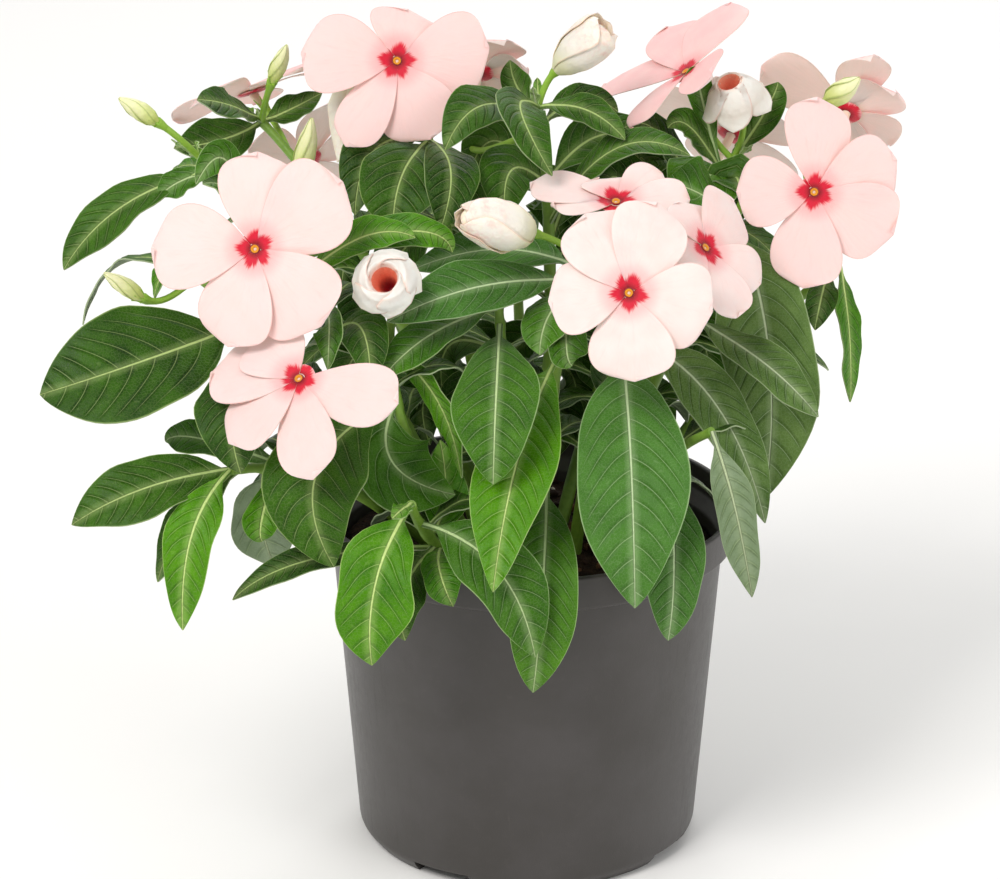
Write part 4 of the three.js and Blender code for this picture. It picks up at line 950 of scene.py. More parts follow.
def add_wrapped_petal(shape, bud, number, chance):
    """A petal of a bud, wound round its axis over the petal before it."""
    wrap = math.radians(BUD_WRAPS[bud.kind])
    spiral = math.radians(BUD_SPIRALS[bud.kind])
    layer = BUD_LAYERS[bud.kind]
    rows = []
    for i in range(BUD_STATIONS + 1):
        share = i / BUD_STATIONS
        swell = along_profile(BUD_PROFILES[bud.kind], share)
        past = max(share - BUD_SHOULDER, 0) / (1 - BUD_SHOULDER)
        narrow = math.sqrt(max(1 - past**2, BUD_TIP_LEAST))
        row = []
        for j in range(BUD_TURNS + 1):
            q = 2 * j / BUD_TURNS - 1
            turn = 2 * math.pi * number / 5 + spiral * share + wrap / 2 * q * narrow
            radius = bud.width / 2 * swell * (1 - layer) + bud.width / 2 * layer * swell * q
            out = bud.across * math.cos(turn) + bud.up * math.sin(turn)
            spot = bud.foot + bud.axis * (bud.length * share) + out * radius
            lift = out * (BUD_PETAL_THICKNESS / 2)
            row.append((spot + lift, spot - lift, (radius * turn, bud.length * share), (q, share)))
        rows.append(row)
    shape.plate(rows, (bud.finish, bud.finish), (chance.random(), bud.width))


def add_flaring_petal(shape, bud, number, chance):
    """A petal of a half-open bud: it rises from the mouth, winds round it and rolls outwards."""
    flare = FLARES[bud.kind]
    wrap = math.radians(flare["wrap"])
    spiral = math.radians(flare["spiral"])
    rows = []
    for i in range(BUD_STATIONS + 1):
        share = i / BUD_STATIONS
        radius = bud.width / 2 * along_profile(flare["out"], share)
        height = bud.length * along_profile(flare["height"], share)
        breadth = along_profile(flare["breadth"], share)
        row = []
        for j in range(BUD_TURNS + 1):
            q = 1 - 2 * j / BUD_TURNS
            turn = 2 * math.pi * number / 5 - spiral * share - wrap / 2 * q * breadth
            out = bud.across * math.cos(turn) + bud.up * math.sin(turn)
            rise = height + flare["lean"] * q * (FLARE_LIFT + share * breadth)
            spot = bud.foot + bud.axis * rise + out * (radius * (1 - FLARE_INSET * q))
            lift = (bud.axis * share + out * (share - 1)).normalized() * (BUD_PETAL_THICKNESS / 2)
            row.append((spot + lift, spot - lift, (radius * turn, radius), (-q, share)))
        rows.append(row)
    shape.plate(rows, ("rosette", "rosette"), (chance.random(), bud.width))


def add_bud_core(shape, bud):
    """The heart of a bud inside its wound petals, with the tube below a half-open one."""
    stations = BUD_CORES[bud.kind]
    rings = []
    for share, swell in stations:
        centre = between(bud.foot, bud.tip, share)
        rings.append(ring_across(centre, bud.axis, None, TUBE_SIDES, lambda _: bud.width / 2 * swell))

    def finish_of(i, k):
        if bud.kind in FLARES:
            return "mouth" if i >= CUP_RIM else "rosette"
        return bud.finish

    shape.skin(rings, finish_of, lambda i, k: ((k, i), (0, stations[i][0]), (0.5, bud.width)))


def add_bud(shape, bud, chance):
    add_bud_core(shape, bud)
    add_one = add_flaring_petal if bud.kind in FLARES else add_wrapped_petal
    for number in range(5):
        add_one(shape, bud, number, chance)
    add_sepals(shape, bud.foot, bud.axis, chance, BUD_SEPAL_LENGTH)


def stalk_of(part):
    """The bow of the stalk from a stem to the foot of a bloom or a bud."""
    start = bows[part.on].point(part.at)
    pull = part.foot - part.axis * (STALK_PULL * (part.foot - start).length)
    return Bow(start, (start + part.foot + pull * 2) / 4, part.foot)


# Pot and soil


def wall_radius(z):
    return WALL_FOOT_RADIUS + WALL_SLOPE * z


def rounded(profile, radii):
    """A profile with some of its corners rounded, each by its own radius."""
    outline = []
    for number, corner in enumerate(profile):
        radius = radii.get(number)
        if not radius:
            outline.append(corner)
            continue
        here = Vector(corner)
        before = (Vector(profile[number - 1]) - here).normalized()
        after = (Vector(profile[number + 1]) - here).normalized()
        for step in range(CORNER_STEPS + 1):
            t = step / CORNER_STEPS
            spot = (here + before * radius) * (1 - t) ** 2 + here * (2 * t * (1 - t))
            outline.append(tuple(spot + (here + after * radius) * t**2))
    return outline


def mesh_from(made, name):
    """A mesh with what a bmesh holds. The bmesh is freed."""
    mesh = bpy.data.meshes.new(name)
    made.to_mesh(mesh)
    made.free()
    return mesh


def lathe_mesh(name, profile):
    """A solid turned from a profile whose two ends lie on the axis."""
    made = bmesh.new()
    rings = []
    for radius, z in profile:
        if radius < 1e-6:
            rings.append([made.verts.new((0, 0, z * MM))])
            continue
        ring = []
        for k in range(POT_SIDES):
            turn = 2 * math.pi * k / POT_SIDES
            ring.append(made.verts.new((radius * math.cos(turn) * MM, radius * math.sin(turn) * MM, z * MM)))
        rings.append(ring)
    for lower, upper in zip(rings, rings[1:]):
        for k in range(POT_SIDES):
            n = (k + 1) % POT_SIDES
            if len(lower) == 1:
                made.faces.new((lower[0], upper[n], upper[k]))
            elif len(upper) == 1:
                made.faces.new((lower[k], lower[n], upper[0]))
            else:
                made.faces.new((lower[k], lower[n], upper[n], upper[k]))
    bmesh.ops.recalc_face_normals(made, faces=made.faces)
    return mesh_from(made, name)


def spoke_box(name, inner, outer, width, bottom, top, angle):
    """A box along a spoke of the pot."""
    made = bmesh.new()
    bmesh.ops.create_cube(made, size=1)
    size = Matrix.Diagonal(((outer - inner) * MM, width * MM, (top - bottom) * MM, 1))
    middle = Matrix.Translation(((inner + outer) / 2 * MM, 0, (bottom + top) / 2 * MM))
    bmesh.ops.transform(made, matrix=Matrix.Rotation(angle, 4, "Z") @ middle @ size, verts=made.verts)
    return mesh_from(made, name)


def drain_mesh(name, angle, bottom, top):
    """The round cutter of a drain hole."""
    made = bmesh.new()
    bmesh.ops.create_cone(
        made,
        cap_ends=True,
        segments=DRAIN_SIDES,
        radius1=DRAIN_RADIUS * MM,
        radius2=DRAIN_RADIUS * MM,
        depth=(top - bottom) * MM,
    )
    centre = Matrix.Translation((DRAIN_CENTRE_RADIUS * MM, 0, (bottom + top) / 2 * MM))
    bmesh.ops.transform(made, matrix=Matrix.Rotation(angle, 4, "Z") @ centre, verts=made.verts)
    return mesh_from(made, name)


def combine(mesh, steps):
    """The mesh after a row of boolean steps, each an operation and the mesh that it takes."""
    host = bpy.data.objects.new("combine_host", mesh)
    bpy.context.scene.collection.objects.link(host)
    helpers = []
    for number, (operation, other) in enumerate(steps):
        helper = bpy.data.objects.new("combine_tool", other)
        bpy.context.scene.collection.objects.link(helper)
        helpers.append(helper)
        modifier = host.modifiers.new(f"step_{number}", "BOOLEAN")
        modifier.operation = operation
        modifier.object = helper
        modifier.solver = "EXACT"
    bpy.context.view_layer.update()
    evaluated = host.evaluated_get(bpy.context.evaluated_depsgraph_get())
    result = bpy.data.meshes.new_from_object(evaluated)
    for thing in [host, *helpers]:
        bpy.data.objects.remove(thing)
    return result


def pot_mesh():
    """The pot stands on its flat base, with four pockets pressed up into it, each with a drain hole."""
    neck = POT_HEIGHT - RIM_BAND
    lip_inside = RIM_RADIUS - RIM_LIP
    profile = [
        (0, WALL),
        (wall_radius(WALL) - WALL, WALL),
        (NECK_RADIUS - WALL, neck - NECK_SPLAY / 2),
        (lip_inside, neck + NECK_SPLAY),
        (lip_inside, POT_HEIGHT),
        (RIM_RADIUS, POT_HEIGHT),
        (RIM_RADIUS, neck),
        (NECK_RADIUS, neck),
        (wall_radius(FOOT_BEND), FOOT_BEND),
        (FOOT_RADIUS, 0),
        (0, 0),
    ]
    ceiling = NOTCH_HEIGHT + WALL
    steps = []
    for k in range(NOTCH_COUNT):
        angle = math.radians(FIRST_NOTCH_DEG + 360 * k / NOTCH_COUNT)
        outer = wall_radius(ceiling) - WALL / 2
        inner = NOTCH_INNER_RADIUS - WALL
        boss = spoke_box("boss", inner, outer - BOSS_BACK, NOTCH_WIDTH + 2 * WALL, WALL / 2, ceiling, angle)
        steps.append(("UNION", boss))
        box = (NOTCH_INNER_RADIUS, RIM_RADIUS, NOTCH_WIDTH, -NOTCH_HEIGHT, NOTCH_HEIGHT)
        steps.append(("DIFFERENCE", spoke_box("notch", *box, angle)))
        steps.append(("DIFFERENCE", drain_mesh("drain", angle, 1, 2 * ceiling)))
    mesh = combine(lathe_mesh("pot_turned", rounded(profile, POT_ROUNDINGS)), steps)
    mesh.shade_smooth()
    mesh.set_sharp_from_angle(angle=math.radians(POT_SMOOTH_DEG))
    return mesh


def clods(x, y):
    """How high the soil's surface stands at a place above its level."""
    clod = math.sin(0.31 * x + 1) * math.cos(0.27 * y)
    crumb = math.sin(0.52 * x - 0.43 * y) * math.cos(0.2 * x)
    fine = noise.noise(Vector((x, y, 0)) * 0.9) + 0.6 * noise.noise(Vector((x, y, 7)) * 2.1)
    return 0.9 * clod + 0.6 * crumb + 0.7 * fine


def add_soil(shape):
    """The filling of the pot, with a lumpy surface."""
    floor = NOTCH_HEIGHT + WALL + SOIL_FLOOR_GAP
    edge = SOIL_LEVEL - SOIL_EDGE_DROP
    outer = wall_radius(edge) - WALL - SOIL_ROOM
    levels = [(wall_radius(floor) - WALL - SOIL_ROOM, floor, 0), (outer, edge, 0)]
    levels += [(radius, SOIL_LEVEL, 1) for radius in SOIL_RINGS]
    rings = []
    for radius, z, rough in levels:
        ring = []
        for k in range(SOIL_SIDES):
            turn = 2 * math.pi * k / SOIL_SIDES
            x = radius * math.cos(turn)
            y = radius * math.sin(turn)
            ring.append(Vector((x, y, z + rough * clods(x, y))))
        rings.append(ring)
    shape.skin(rings, lambda i, k: "soil", lambda i, k: ((k, i), (0, 0), (0, 0)))


def add_crumb(shape, centre, radius, chance):
    """A lump of soil or bark, knobbly all round."""
    rings = []
    tone = chance.random()
    squash = chance.uniform(*CRUMB_SQUASH)
    lean = Vector((chance.uniform(-1, 1), chance.uniform(-1, 1), 1)).normalized()
    for level in CRUMB_LEVELS:
        around = radius * math.sqrt(1 - level * level)
        knobs = [chance.uniform(*CRUMB_KNOBS) for _ in range(CRUMB_SIDES)]
        middle = centre + lean * (level * radius * squash)

        def radius_at(turn):
            return around * knobs[round(turn * CRUMB_SIDES / (2 * math.pi)) % CRUMB_SIDES]

        rings.append(ring_across(middle, lean, None, CRUMB_SIDES, radius_at))
    shape.skin(rings, lambda i, k: "crumb", lambda i, k: ((0, 0), (0, 0), (tone, 0)))


def add_crumbs(shape, chance):
    for _ in range(CRUMB_COUNT):
        radius = SOIL_RINGS[0] * math.sqrt(chance.random()) * CRUMB_SPREAD
        turn = chance.uniform(0, 2 * math.pi)
        x = radius * math.cos(turn)
        y = radius * math.sin(turn)
        size = chance.uniform(*CRUMB_RADIUS)
        add_crumb(shape, Vector((x, y, SOIL_LEVEL + clods(x, y) + CRUMB_RISE * size)), size, chance)


# Materials


class Signal:
    """A value or colour in a material's node tree. Arithmetic on signals adds the nodes for it."""

    def __init__(self, tree, socket):
        self.tree = tree
        self.socket = socket

    def math(self, operation, *others, clamp=False):
        node = self.tree.nodes.new("ShaderNodeMath")
        node.operation = operation
        node.use_clamp = clamp
        for entry, value in zip(node.inputs, (self, *others)):
            plug(self.tree, entry, value)
        return Signal(self.tree, node.outputs[0])

    def __add__(self, other):
        return self.math("ADD", other)

    def __sub__(self, other):
        return self.math("SUBTRACT", other)

    def __mul__(self, other):
        return self.math("MULTIPLY", other)

    def __truediv__(self, other):
        return self.math("DIVIDE", other)

    def size(self):
        return self.math("ABSOLUTE")

    def step(self, low, high):
        """0 up to one value, 1 from another, and eased between them. The first may be the higher one."""
        node = self.tree.nodes.new("ShaderNodeMapRange")
        node.interpolation_type = "SMOOTHSTEP"
        flip = low > high
        plug(self.tree, node.inputs["Value"], self)
        node.inputs["From Min"].default_value = min(low, high)
        node.inputs["From Max"].default_value = max(low, high)
        node.inputs["To Min"].default_value = 1 if flip else 0
        node.inputs["To Max"].default_value = 0 if flip else 1
        return Signal(self.tree, node.outputs["Result"])


def plug(tree, entry, value):
    if isinstance(value, Signal):
        tree.links.new(value.socket, entry)
    else:
        entry.default_value = colour(value) if isinstance(value, str) else value


def colour(code):
    """A hexadecimal colour in the linear values that Blender works in."""
    parts = [int(code[i : i + 2], 16) / 255 for i in (1, 3, 5)]
    linear = [part / 12.92 if part <= 0.04045 else ((part + 0.055) / 1.055) ** 2.4 for part in parts]
    return (*linear, 1)


GLOW_DEPTH = 1.5


class Look:
    """A material with one Principled shader, and helpers for the nodes that feed it."""

    def __init__(self, name, roughness, specular=0.5, subsurface=0.0, glow=(1, 1, 1), sheen=0.0):
        self.material = bpy.data.materials.new(name)
        self.material.use_nodes = True
        self.tree = self.material.node_tree
        self.shader = self.tree.nodes["Principled BSDF"]
        self.shader.inputs["Roughness"].default_value = roughness
        self.shader.inputs["Specular IOR Level"].default_value = specular
        self.shader.inputs["Sheen Weight"].default_value = sheen
        if subsurface:
            self.shader.inputs["Subsurface Weight"].default_value = subsurface
            self.shader.inputs["Subsurface Radius"].default_value = glow
            self.shader.inputs["Subsurface Scale"].default_value = GLOW_DEPTH * MM

    def node(self, kind, **settings):
        node = self.tree.nodes.new(kind)
        for name, value in settings.items():
            setattr(node, name, value)
        return node

    def pair(self, label):
        """The two values of one of the piece's UV maps."""
        mapped = self.node("ShaderNodeUVMap", uv_map=label)
        parts = self.node("ShaderNodeSeparateXYZ")
        self.tree.links.new(mapped.outputs["UV"], parts.inputs[0])
        return Signal(self.tree, parts.outputs[0]), Signal(self.tree, parts.outputs[1])

    def spot(self):
        """The place on the object in millimetres."""
        place_node = self.node("ShaderNodeTexCoord")
        scale = self.node("ShaderNodeVectorMath", operation="SCALE")
        scale.inputs["Scale"].default_value = 1 / MM
        self.tree.links.new(place_node.outputs["Object"], scale.inputs[0])
        return Signal(self.tree, scale.outputs[0])

    def vector(self, x, y, z=0.0):
        node = self.node("ShaderNodeCombineXYZ")
        for entry, value in zip(node.inputs, (x, y, z)):
            plug(self.tree, entry, value)
        return Signal(self.tree, node.outputs[0])

    def noise(self, place_signal, scale, detail=3.0, rough=0.5):
        node = self.node("ShaderNodeTexNoise")
        self.tree.links.new(place_signal.socket, node.inputs["Vector"])
        node.inputs["Scale"].default_value = scale
        node.inputs["Detail"].default_value = detail
        node.inputs["Roughness"].default_value = rough
        return Signal(self.tree, node.outputs["Fac"])

    def cells(self, place_signal, scale, feature="DISTANCE_TO_EDGE"):
        node = self.node("ShaderNodeTexVoronoi", feature=feature)
        self.tree.links.new(place_signal.socket, node.inputs["Vector"])
        node.inputs["Scale"].default_value = scale
        return Signal(self.tree, node.outputs["Distance"])

    def mix(self, share, first, second):
        node = self.node("ShaderNodeMix", data_type="RGBA")
        plug(self.tree, node.inputs[0], share)
        plug(self.tree, node.inputs[6], first)
        plug(self.tree, node.inputs[7], second)
        return Signal(self.tree, node.outputs[2])

    def paint(self, signal):
        self.tree.links.new(signal.socket, self.shader.inputs["Base Color"])

    def gloss(self, signal):
        self.tree.links.new(signal.socket, self.shader.inputs["Roughness"])

    def bump(self, height, distance_mm, strength=1.0):
        node = self.node("ShaderNodeBump")
        node.inputs["Strength"].default_value = strength
        node.inputs["Distance"].default_value = distance_mm * MM
        self.tree.links.new(height.socket, node.inputs["Height"])
        self.tree.links.new(node.outputs[0], self.shader.inputs["Normal"])


# Leaf looks: the darkest and lightest green of the blade, its veins, and how glossy it is.
LEAF_LOOKS = {
    "deep": ("#143104", "#3b6808", "#b9d083", 0.36),
    "bright": ("#2d6400", "#528d06", "#cfe690", 0.3),
    "fresh": ("#275205", "#4a7d12", "#c6dea0", 0.4),
    "bluish": ("#295212", "#48782a", "#c4dba8", 0.4),
    "greyish": ("#3c5a1e", "#6c8846", "#c2d2a8", 0.46),
}
VIVID_LOOKS = ("bright", "fresh")
VIVID_UNDERSIDE = ("#6f9440", "#8fae62", "#b9c79c", 0.6)
DULL_UNDERSIDE = ("#6a7f58", "#8a9a80", "#b9c79c", 0.6)


def leaf_look(name, dark, light, vein, roughness, under):
    """A blade's skin: a pale midrib, veins that arch from it, a fine net between them and a pale margin. The
    valleys between the veins are darkened with painted shade.
    """
    look = Look(name, roughness, specular=0.16)
    across, along = look.pair("flat")
    q, share = look.pair("share")
    tone, width = look.pair("tint")
    away = across.size()
    side = across.math("GREATER_THAN", 0.0)
    spacing = width * 0.12 + VEIN_SPACING
    phase = (along - away * VEIN_SLOPE - away * away * VEIN_ARCH / width) / spacing + side * 0.4
    stripe = (phase.math("FRACT") - 0.5).size()
    reach = share.step(0.0, 0.04) * q.size().step(0.98, 0.7)
    lateral = stripe.step(0.465, 0.5) * reach
    valley = stripe.step(0.25, 0.5) * reach
    midrib = (away + share * 0.3).step(0.58, 0.28)
    flat = look.vector(across, along, tone * 90)
    net = look.cells(flat, 1.1).step(0.1, 0.0)
    patch = look.noise(flat, 0.13, 3.0)
    fine = look.noise(flat, 1.3, 3.0, 0.6)
    margin = q.size().step(0.965, 1.0)
    # Random mottling, less the painted shade that darkens the valleys between the veins.
    mottle_and_valley_shade = patch * 1.2 + tone * 0.5 + fine * 0.4 - valley * 0.3
    body = look.mix((mottle_and_valley_shade - 0.52).math("ADD", 0.0, clamp=True), dark, light)
    netted = look.mix(net * 0.07, body, vein)
    beside_rib = look.mix(away.step(2.4, 0.4) * 0.16, netted, vein)
    veined = look.mix(lateral * (0.4 if under else 0.34), beside_rib, vein)
    ribbed = look.mix(midrib * 0.9, veined, vein)
    look.paint(look.mix(margin * 0.45, ribbed, vein))
    quilt = valley * (0.5 if under else -0.5) + net * -0.08 + fine * 0.2 + midrib * (0.8 if under else -0.6)
    look.bump(quilt, 0.8, 0.9)
    look.gloss(fine * 0.16 + (roughness - 0.05))
    return look.material


def stem_look():
    look = Look("stem", 0.45, subsurface=0.1, glow=(0.6, 1, 0.2))
    along = look.spot()
    _, fresh = look.pair("tint")
    streak = look.noise(along, 0.5, 4.0, 0.6)
    green = look.mix(streak, "#4f7420", "#7d9f3a")
    young = look.mix(streak, "#7fae2c", "#a4cb4c")
    look.paint(look.mix(fresh, green, young))
    look.bump(streak, 0.3)
    return look.material


def petal_look(name, under):
    """A blush petal: a crimson star with a ragged edge at its foot, faint rays, and a darker line of painted
    shade along its edges that parts it from the next petal. Its underside has painted shade too: a greyer
    beige along the rays and a darker edge.
    """
    look = Look(name, 0.55, specular=0.3, subsurface=0.35, glow=(1.0, 0.45, 0.4), sheen=0.15)
    aside, out = look.pair("flat")
    q, share = look.pair("share")
    # The first tint is the bloom's pink: its blush, and on the blooms at the back also painted light, for the
    # glow of light through the petals, on both faces.
    blush_and_backlight, chance = look.pair("tint")
    far = (aside * aside + out * out).math("SQRT")
    turn = aside.math("ARCTAN2", out)
    rays = look.noise(look.vector(turn * 14, far * 0.12, chance * 50), 1.0, 4.0, 0.65)
    cloud = look.noise(look.vector(aside, out, chance * 30), 0.12, 2.0)
    if under:
        base = look.mix(blush_and_backlight, "#f6e9e2", "#f8d0ca")
        shaded = look.mix(rays.step(0.35, 0.8) * 0.3, base, "#e4cdc3")
        near = look.mix(far.step(7.0, 2.0) * 0.6, shaded, "#c9b98f")
        # Painted shade: a darker line along the underside's edges.
        look.paint(look.mix(q.size().step(0.94, 1.0) * 0.35, near, "#b7a293"))
    else:
        base = look.mix(blush_and_backlight, "#f6dad4", "#f3acad")
        clouded = look.mix(cloud.step(0.3, 0.75) * 0.55, base, "#f5c9c3")
        rayed = look.mix(rays.step(0.5, 0.85) * 0.22, clouded, "#eaaaa6")
        warm = look.mix(far.step(10.0, 4.8) * 0.45, rayed, "#f0868a")
        # Painted shade: a darker line along the petal's edges, where it meets the next petal.
        edge_shaded = look.mix(q.size().step(0.965, 1.0) * 0.5, warm, "#c08a80")
        spikes = look.noise(look.vector(turn * 42, far * 0.1, chance * 50), 1.0, 2.0)
        ragged = far + rays * 3.0 + spikes * 1.6 + turn.size() * 2.4
        star = ragged.step(STAR_EYE_RADIUS + 3.1, STAR_EYE_RADIUS + 1.5)
        heart = look.mix(far.step(3.2, 1.5), "#d0052c", "#9a0318")
        look.paint(look.mix(star, edge_shaded, heart))
    look.bump(rays + cloud * 0.4, 0.22, 0.6)
    return look.material


def tube_look():
    look = Look("tube", 0.5, subsurface=0.25, glow=(1, 0.7, 0.4))
    _, share = look.pair("share")
    streak = look.noise(look.spot(), 0.8, 3.0)
    base = look.mix(share.step(0.0, 0.9), "#a9c07a", "#ecd6c2")
    look.paint(look.mix(streak * 0.3, base, "#cdb597"))
    look.bump(streak, 0.2)
    return look.material


def eye_look():
    """The mouth's ring: yellow hairs inside a dark red edge."""
    look = Look("eye", 0.75, specular=0.2, sheen=0.3)
    out, _ = look.pair("flat")
    fuzz = look.noise(look.spot(), 3.2, 3.0, 0.7)
    ragged = out + fuzz * 0.5 - 0.25
    ringed = look.mix(ragged.step(1.25, 0.95), "#86061a", "#e2951f")
    look.paint(look.mix(ragged.step(0.42, 0.22), ringed, "#7a3408"))
    look.bump(fuzz, 0.3)
    return look.material


def closed_bud_look():
    look = Look("closed_bud", 0.42, subsurface=0.25, glow=(0.8, 1, 0.3))
    q, share = look.pair("share")
    streak = look.noise(look.spot(), 0.9, 3.0)
    base = look.mix(share.step(0.05, 0.85), "#c3d468", "#f1f2b8")
    lined = look.mix(q.step(0.8, 1.0) * 0.7, base, "#7f9a3a")
    look.paint(look.mix(streak * 0.25, lined, "#e6ecab"))
    look.bump(streak, 0.2)
    return look.material


def pale_bud_look():
    look = Look("pale_bud", 0.5, subsurface=0.4, glow=(1, 0.8, 0.5), sheen=0.1)
    q, share = look.pair("share")
    streak = look.noise(look.spot(), 0.35, 4.0, 0.6)
    base = look.mix(share.step(0.0, 0.5), "#ece6b0", "#fdf1dc")
    blushed = look.mix(streak.step(0.4, 0.75) * share.step(0.3, 0.85) * 0.75, base, "#f5bfb0")
    look.paint(look.mix(q.size().step(0.93, 1.0) * 0.55, blushed, "#d9a893"))
    look.bump(streak, 0.4)
    return look.material


def rosette_look():
    """The rolled petals of a half-open bud: cream-white, with a darker line of painted shade along their
    edges, and coral down in the mouth.
    """
    look = Look("rosette", 0.5, subsurface=0.4, glow=(1, 0.6, 0.5), sheen=0.1)
    q, share = look.pair("share")
    streak = look.noise(look.spot(), 0.4, 3.0)
    rim = look.mix(streak * 0.5, "#fdf6ea", "#f7dccf")
    # Painted shade: a darker line along each rolled petal's edges, where it lies over the next.
    edge_shaded = look.mix(q.size().step(0.86, 1.0) * 0.55, rim, "#d99b88")
    look.paint(look.mix(share.step(0.2, 0.0) * 0.6, edge_shaded, "#f2b9a2"))
    look.bump(streak, 0.3)
    return look.material


def mouth_look():
    """The inside of a half-open bud's mouth, coral at its rim and dark red below."""
    look = Look("mouth", 0.6, subsurface=0.3, glow=(1, 0.4, 0.3))
    _, share = look.pair("share")
    fuzz = look.noise(look.spot(), 1.2, 3.0)
    coral = look.mix(fuzz * 0.5, "#f59a7c", "#ee7f63")
    look.paint(look.mix(share.step(0.72, 0.5), coral, "#8e1220"))
    look.bump(fuzz, 0.3)
    return look.material


def pot_look():
    """Thermoformed plastic: satin and warm grey, with faint blotches, dust and fine scuffs."""
    look = Look("pot", 0.42, specular=0.45)
    spot = look.spot()
    blotch = look.noise(spot, 0.035, 4.0, 0.6)
    dust = look.noise(spot, 0.4, 6.0, 0.7)
    squeezed = look.node("ShaderNodeMapping")
    look.tree.links.new(spot.socket, squeezed.inputs["Vector"])
    squeezed.inputs["Scale"].default_value = (1, 1, 0.12)
    scuff = look.noise(Signal(look.tree, squeezed.outputs[0]), 0.5, 5.0, 0.75)
    base = look.mix(blotch.step(0.25, 0.8), "#3a3734", "#444140")
    dusty = look.mix(dust.step(0.52, 0.85) * 0.16, base, "#645e5a")
    look.paint(look.mix(scuff.step(0.64, 0.84) * 0.14, dusty, "#837c76"))
    grain = look.noise(spot, 2.4, 3.0)
    look.gloss(dust * 0.2 + scuff.step(0.5, 0.8) * 0.14 + 0.3)
    look.bump(grain * 0.4 + blotch * 1.2, 0.2, 0.4)
    return look.material


def soil_look():
    look = Look("soil", 0.95, specular=0.15)
    spot = look.spot()
    lump = look.noise(spot, 0.35, 6.0, 0.7)
    fibre = look.cells(spot, 0.9, "F1")
    base = look.mix(lump.step(0.3, 0.7), "#120c08", "#3a2a1e")
    look.paint(look.mix(fibre.step(0.25, 0.05) * 0.35, base, "#6a5240"))
    look.bump(lump + fibre * 0.4, 1.2)
    return look.material


def crumb_look():
    look = Look("crumb", 0.9, specular=0.2)
    spot = look.spot()
    tone, _ = look.pair("tint")
    grain = look.noise(spot, 1.2, 4.0)
    dark = look.mix(grain, "#150e0a", "#3d2b1f")
    bark = look.mix(grain, "#3c2616", "#75543a")
    woody = look.mix(tone.step(0.72, 0.8), dark, bark)
    look.paint(look.mix(tone.step(0.965, 0.975), woody, "#cfc8bb"))
    look.bump(grain, 0.5)
    return look.material


def floor_look():
    look = Look("floor", 0.85, specular=0.1)
    look.paint(look.mix(look.noise(look.spot(), 0.004, 1.0) * 0.2, "#f4f3f1", "#efeeec"))
    return look.material


def make_materials():
    made = {
        "stem": stem_look(),
        "petal": petal_look("petal", False),
        "petal_under": petal_look("petal_under", True),
        "tube": tube_look(),
        "eye": eye_look(),
        "closed_bud": closed_bud_look(),
        "pale_bud": pale_bud_look(),
        "rosette": rosette_look(),
        "mouth": mouth_look(),
        "pot": pot_look(),
        "soil": soil_look(),
        "crumb": crumb_look(),
        "floor": floor_look(),
    }
    for name, tones in LEAF_LOOKS.items():
        made[name] = leaf_look("leaf_" + name, *tones, False)
        underside = VIVID_UNDERSIDE if name in VIVID_LOOKS else DULL_UNDERSIDE
        made[name + "_under"] = leaf_look(f"leaf_{name}_under", *underside, True)
    return made


# Assembly


def add_object(name, mesh, replaced):
    piece = bpy.data.objects.new(name, mesh)
    bpy.context.scene.collection.objects.link(piece)
    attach(piece, "root")
    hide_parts(replaced)
    return piece


def node_radius(name):
    """A stem's radius along it, with a swelling where each leaf grows."""
    length = bows[name].length()
    feet = [leaf[0] for leaf in leaves_of(name)]

    def radius(share):
        swell = sum(math.exp(-(((share - foot) * length / NODE_SPREAD) ** 2)) for foot in feet)
        return between(STEM_ROOT_RADIUS, STEM_TIP_RADIUS, share) + NODE_SWELL * min(swell, 1)

    return radius


def build_stem(name, materials):
    chance = random.Random("stem " + name)
    shape = Shape()
    bow = bows[name]
    tint = (chance.random(), STEM_FRESHNESS)
    add_tube(shape, bow, node_radius(name), STEM_STEPS, STEM_SIDES, "stem", tint)
    for at, middle, tip, width, faces, look, *stalk in leaves_of(name):
        leaf = (middle, tip, width, faces, *(stalk or [PETIOLE_SHARE]))
        add_leaf(shape, bow.point(at), leaf, look, chance)
    for part in (*map(Bloom, BLOOMS), *map(Bud, BUDS)):
        if part.on == name:
            tint = (chance.random(), STALK_FRESHNESS)
            add_tube(shape, stalk_of(part), stalk_radius, STALK_STEPS, STEM_SIDES, "stem", tint)
    if name in TUFTED:
        add_tuft(shape, name, chance)
    add_object("leafy_" + name, shape.mesh("leafy_" + name, materials), "stem_" + name)


def stalk_radius(share):
    return STALK_RADIUS + (CALYX_RADIUS - STALK_RADIUS) * eased((share - CALYX_FROM) / (1 - CALYX_FROM))


def build_blooms(materials):
    for name in BLOOMS:
        shape = Shape()
        add_bloom(shape, Bloom(name), random.Random(name))
        add_object("open_" + name, shape.mesh("open_" + name, materials), name)


def build_buds(materials):
    for name in BUDS:
        shape = Shape()
        bud = Bud(name)
        add_bud(shape, bud, random.Random(name))
        slot = "green_bud" if bud.kind == "closed" else "pale_bud"
        add_object("wound_" + name, shape.mesh("wound_" + name, materials), name)


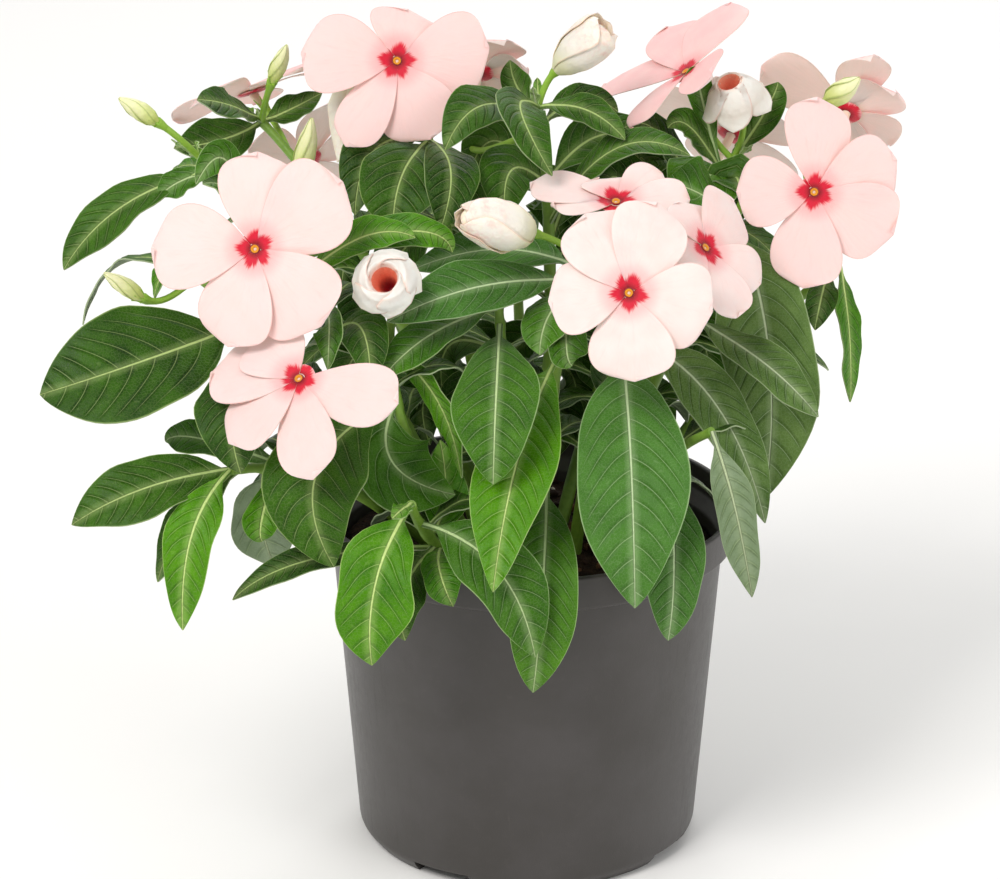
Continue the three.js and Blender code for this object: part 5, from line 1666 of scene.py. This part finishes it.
def build_pot(materials):
    mesh = pot_mesh()
    mesh.materials.clear()
    mesh.materials.append(materials["pot"])
    add_object("nursery_pot", mesh, "pot")
    shape = Shape()
    add_soil(shape)
    add_crumbs(shape, random.Random("crumbs"))
    add_object("potting_soil", shape.mesh("potting_soil", materials, SOIL_SMOOTH_DEG), "soil")


def build_stage(materials):
    size = FLOOR_SIZE / 2 * MM
    mesh = bpy.data.meshes.new("floor")
    corners = [(-size, -size, 0), (size, -size, 0), (size, size, 0), (-size, size, 0)]
    mesh.from_pydata(corners, [], [(0, 1, 2, 3)])
    mesh.materials.append(materials["floor"])
    floor = bpy.data.objects.new("floor", mesh)
    bpy.context.scene.collection.objects.link(floor)


def add_light(name, spot, width, power, tone):
    lamp = bpy.data.lights.new(name, "AREA")
    lamp.shape = "SQUARE"
    lamp.size = width * MM
    lamp.energy = power
    lamp.color = tone
    light = bpy.data.objects.new(name, lamp)
    light.location = spot * MM
    light.rotation_euler = (LIGHT_TARGET - spot).to_track_quat("-Z", "Y").to_euler()
    bpy.context.scene.collection.objects.link(light)


def build_lights():
    for name, spot, width, power, tone in LIGHTS:
        add_light(name, Vector(spot), width, power, tone)
    world = bpy.data.worlds.new("studio")
    world.use_nodes = True
    background = world.node_tree.nodes["Background"]
    background.inputs["Color"].default_value = (1, 1, 1, 1)
    background.inputs["Strength"].default_value = WORLD_STRENGTH
    bpy.context.scene.world = world
    bpy.context.scene.view_settings.view_transform = "Standard"


def build_camera():
    lens = bpy.data.cameras.new("view")
    lens.sensor_fit = "HORIZONTAL"
    lens.sensor_width = 36
    lens.lens = VIEW_FOCAL * lens.sensor_width / VIEW_WIDTH
    lens.clip_start = 0.05
    lens.clip_end = 100
    camera = bpy.data.objects.new("view", lens)
    camera.location = VIEW_EYE * MM
    camera.rotation_euler = (math.pi / 2 - VIEW_TILT, 0, 0)
    bpy.context.scene.collection.objects.link(camera)
    bpy.context.scene.camera = camera


def build_all():
    materials = make_materials()
    build_camera()
    build_pot(materials)
    for name in STEMS:
        build_stem(name, materials)
    build_blooms(materials)
    build_buds(materials)
    build_stage(materials)
    build_lights()


build_all()
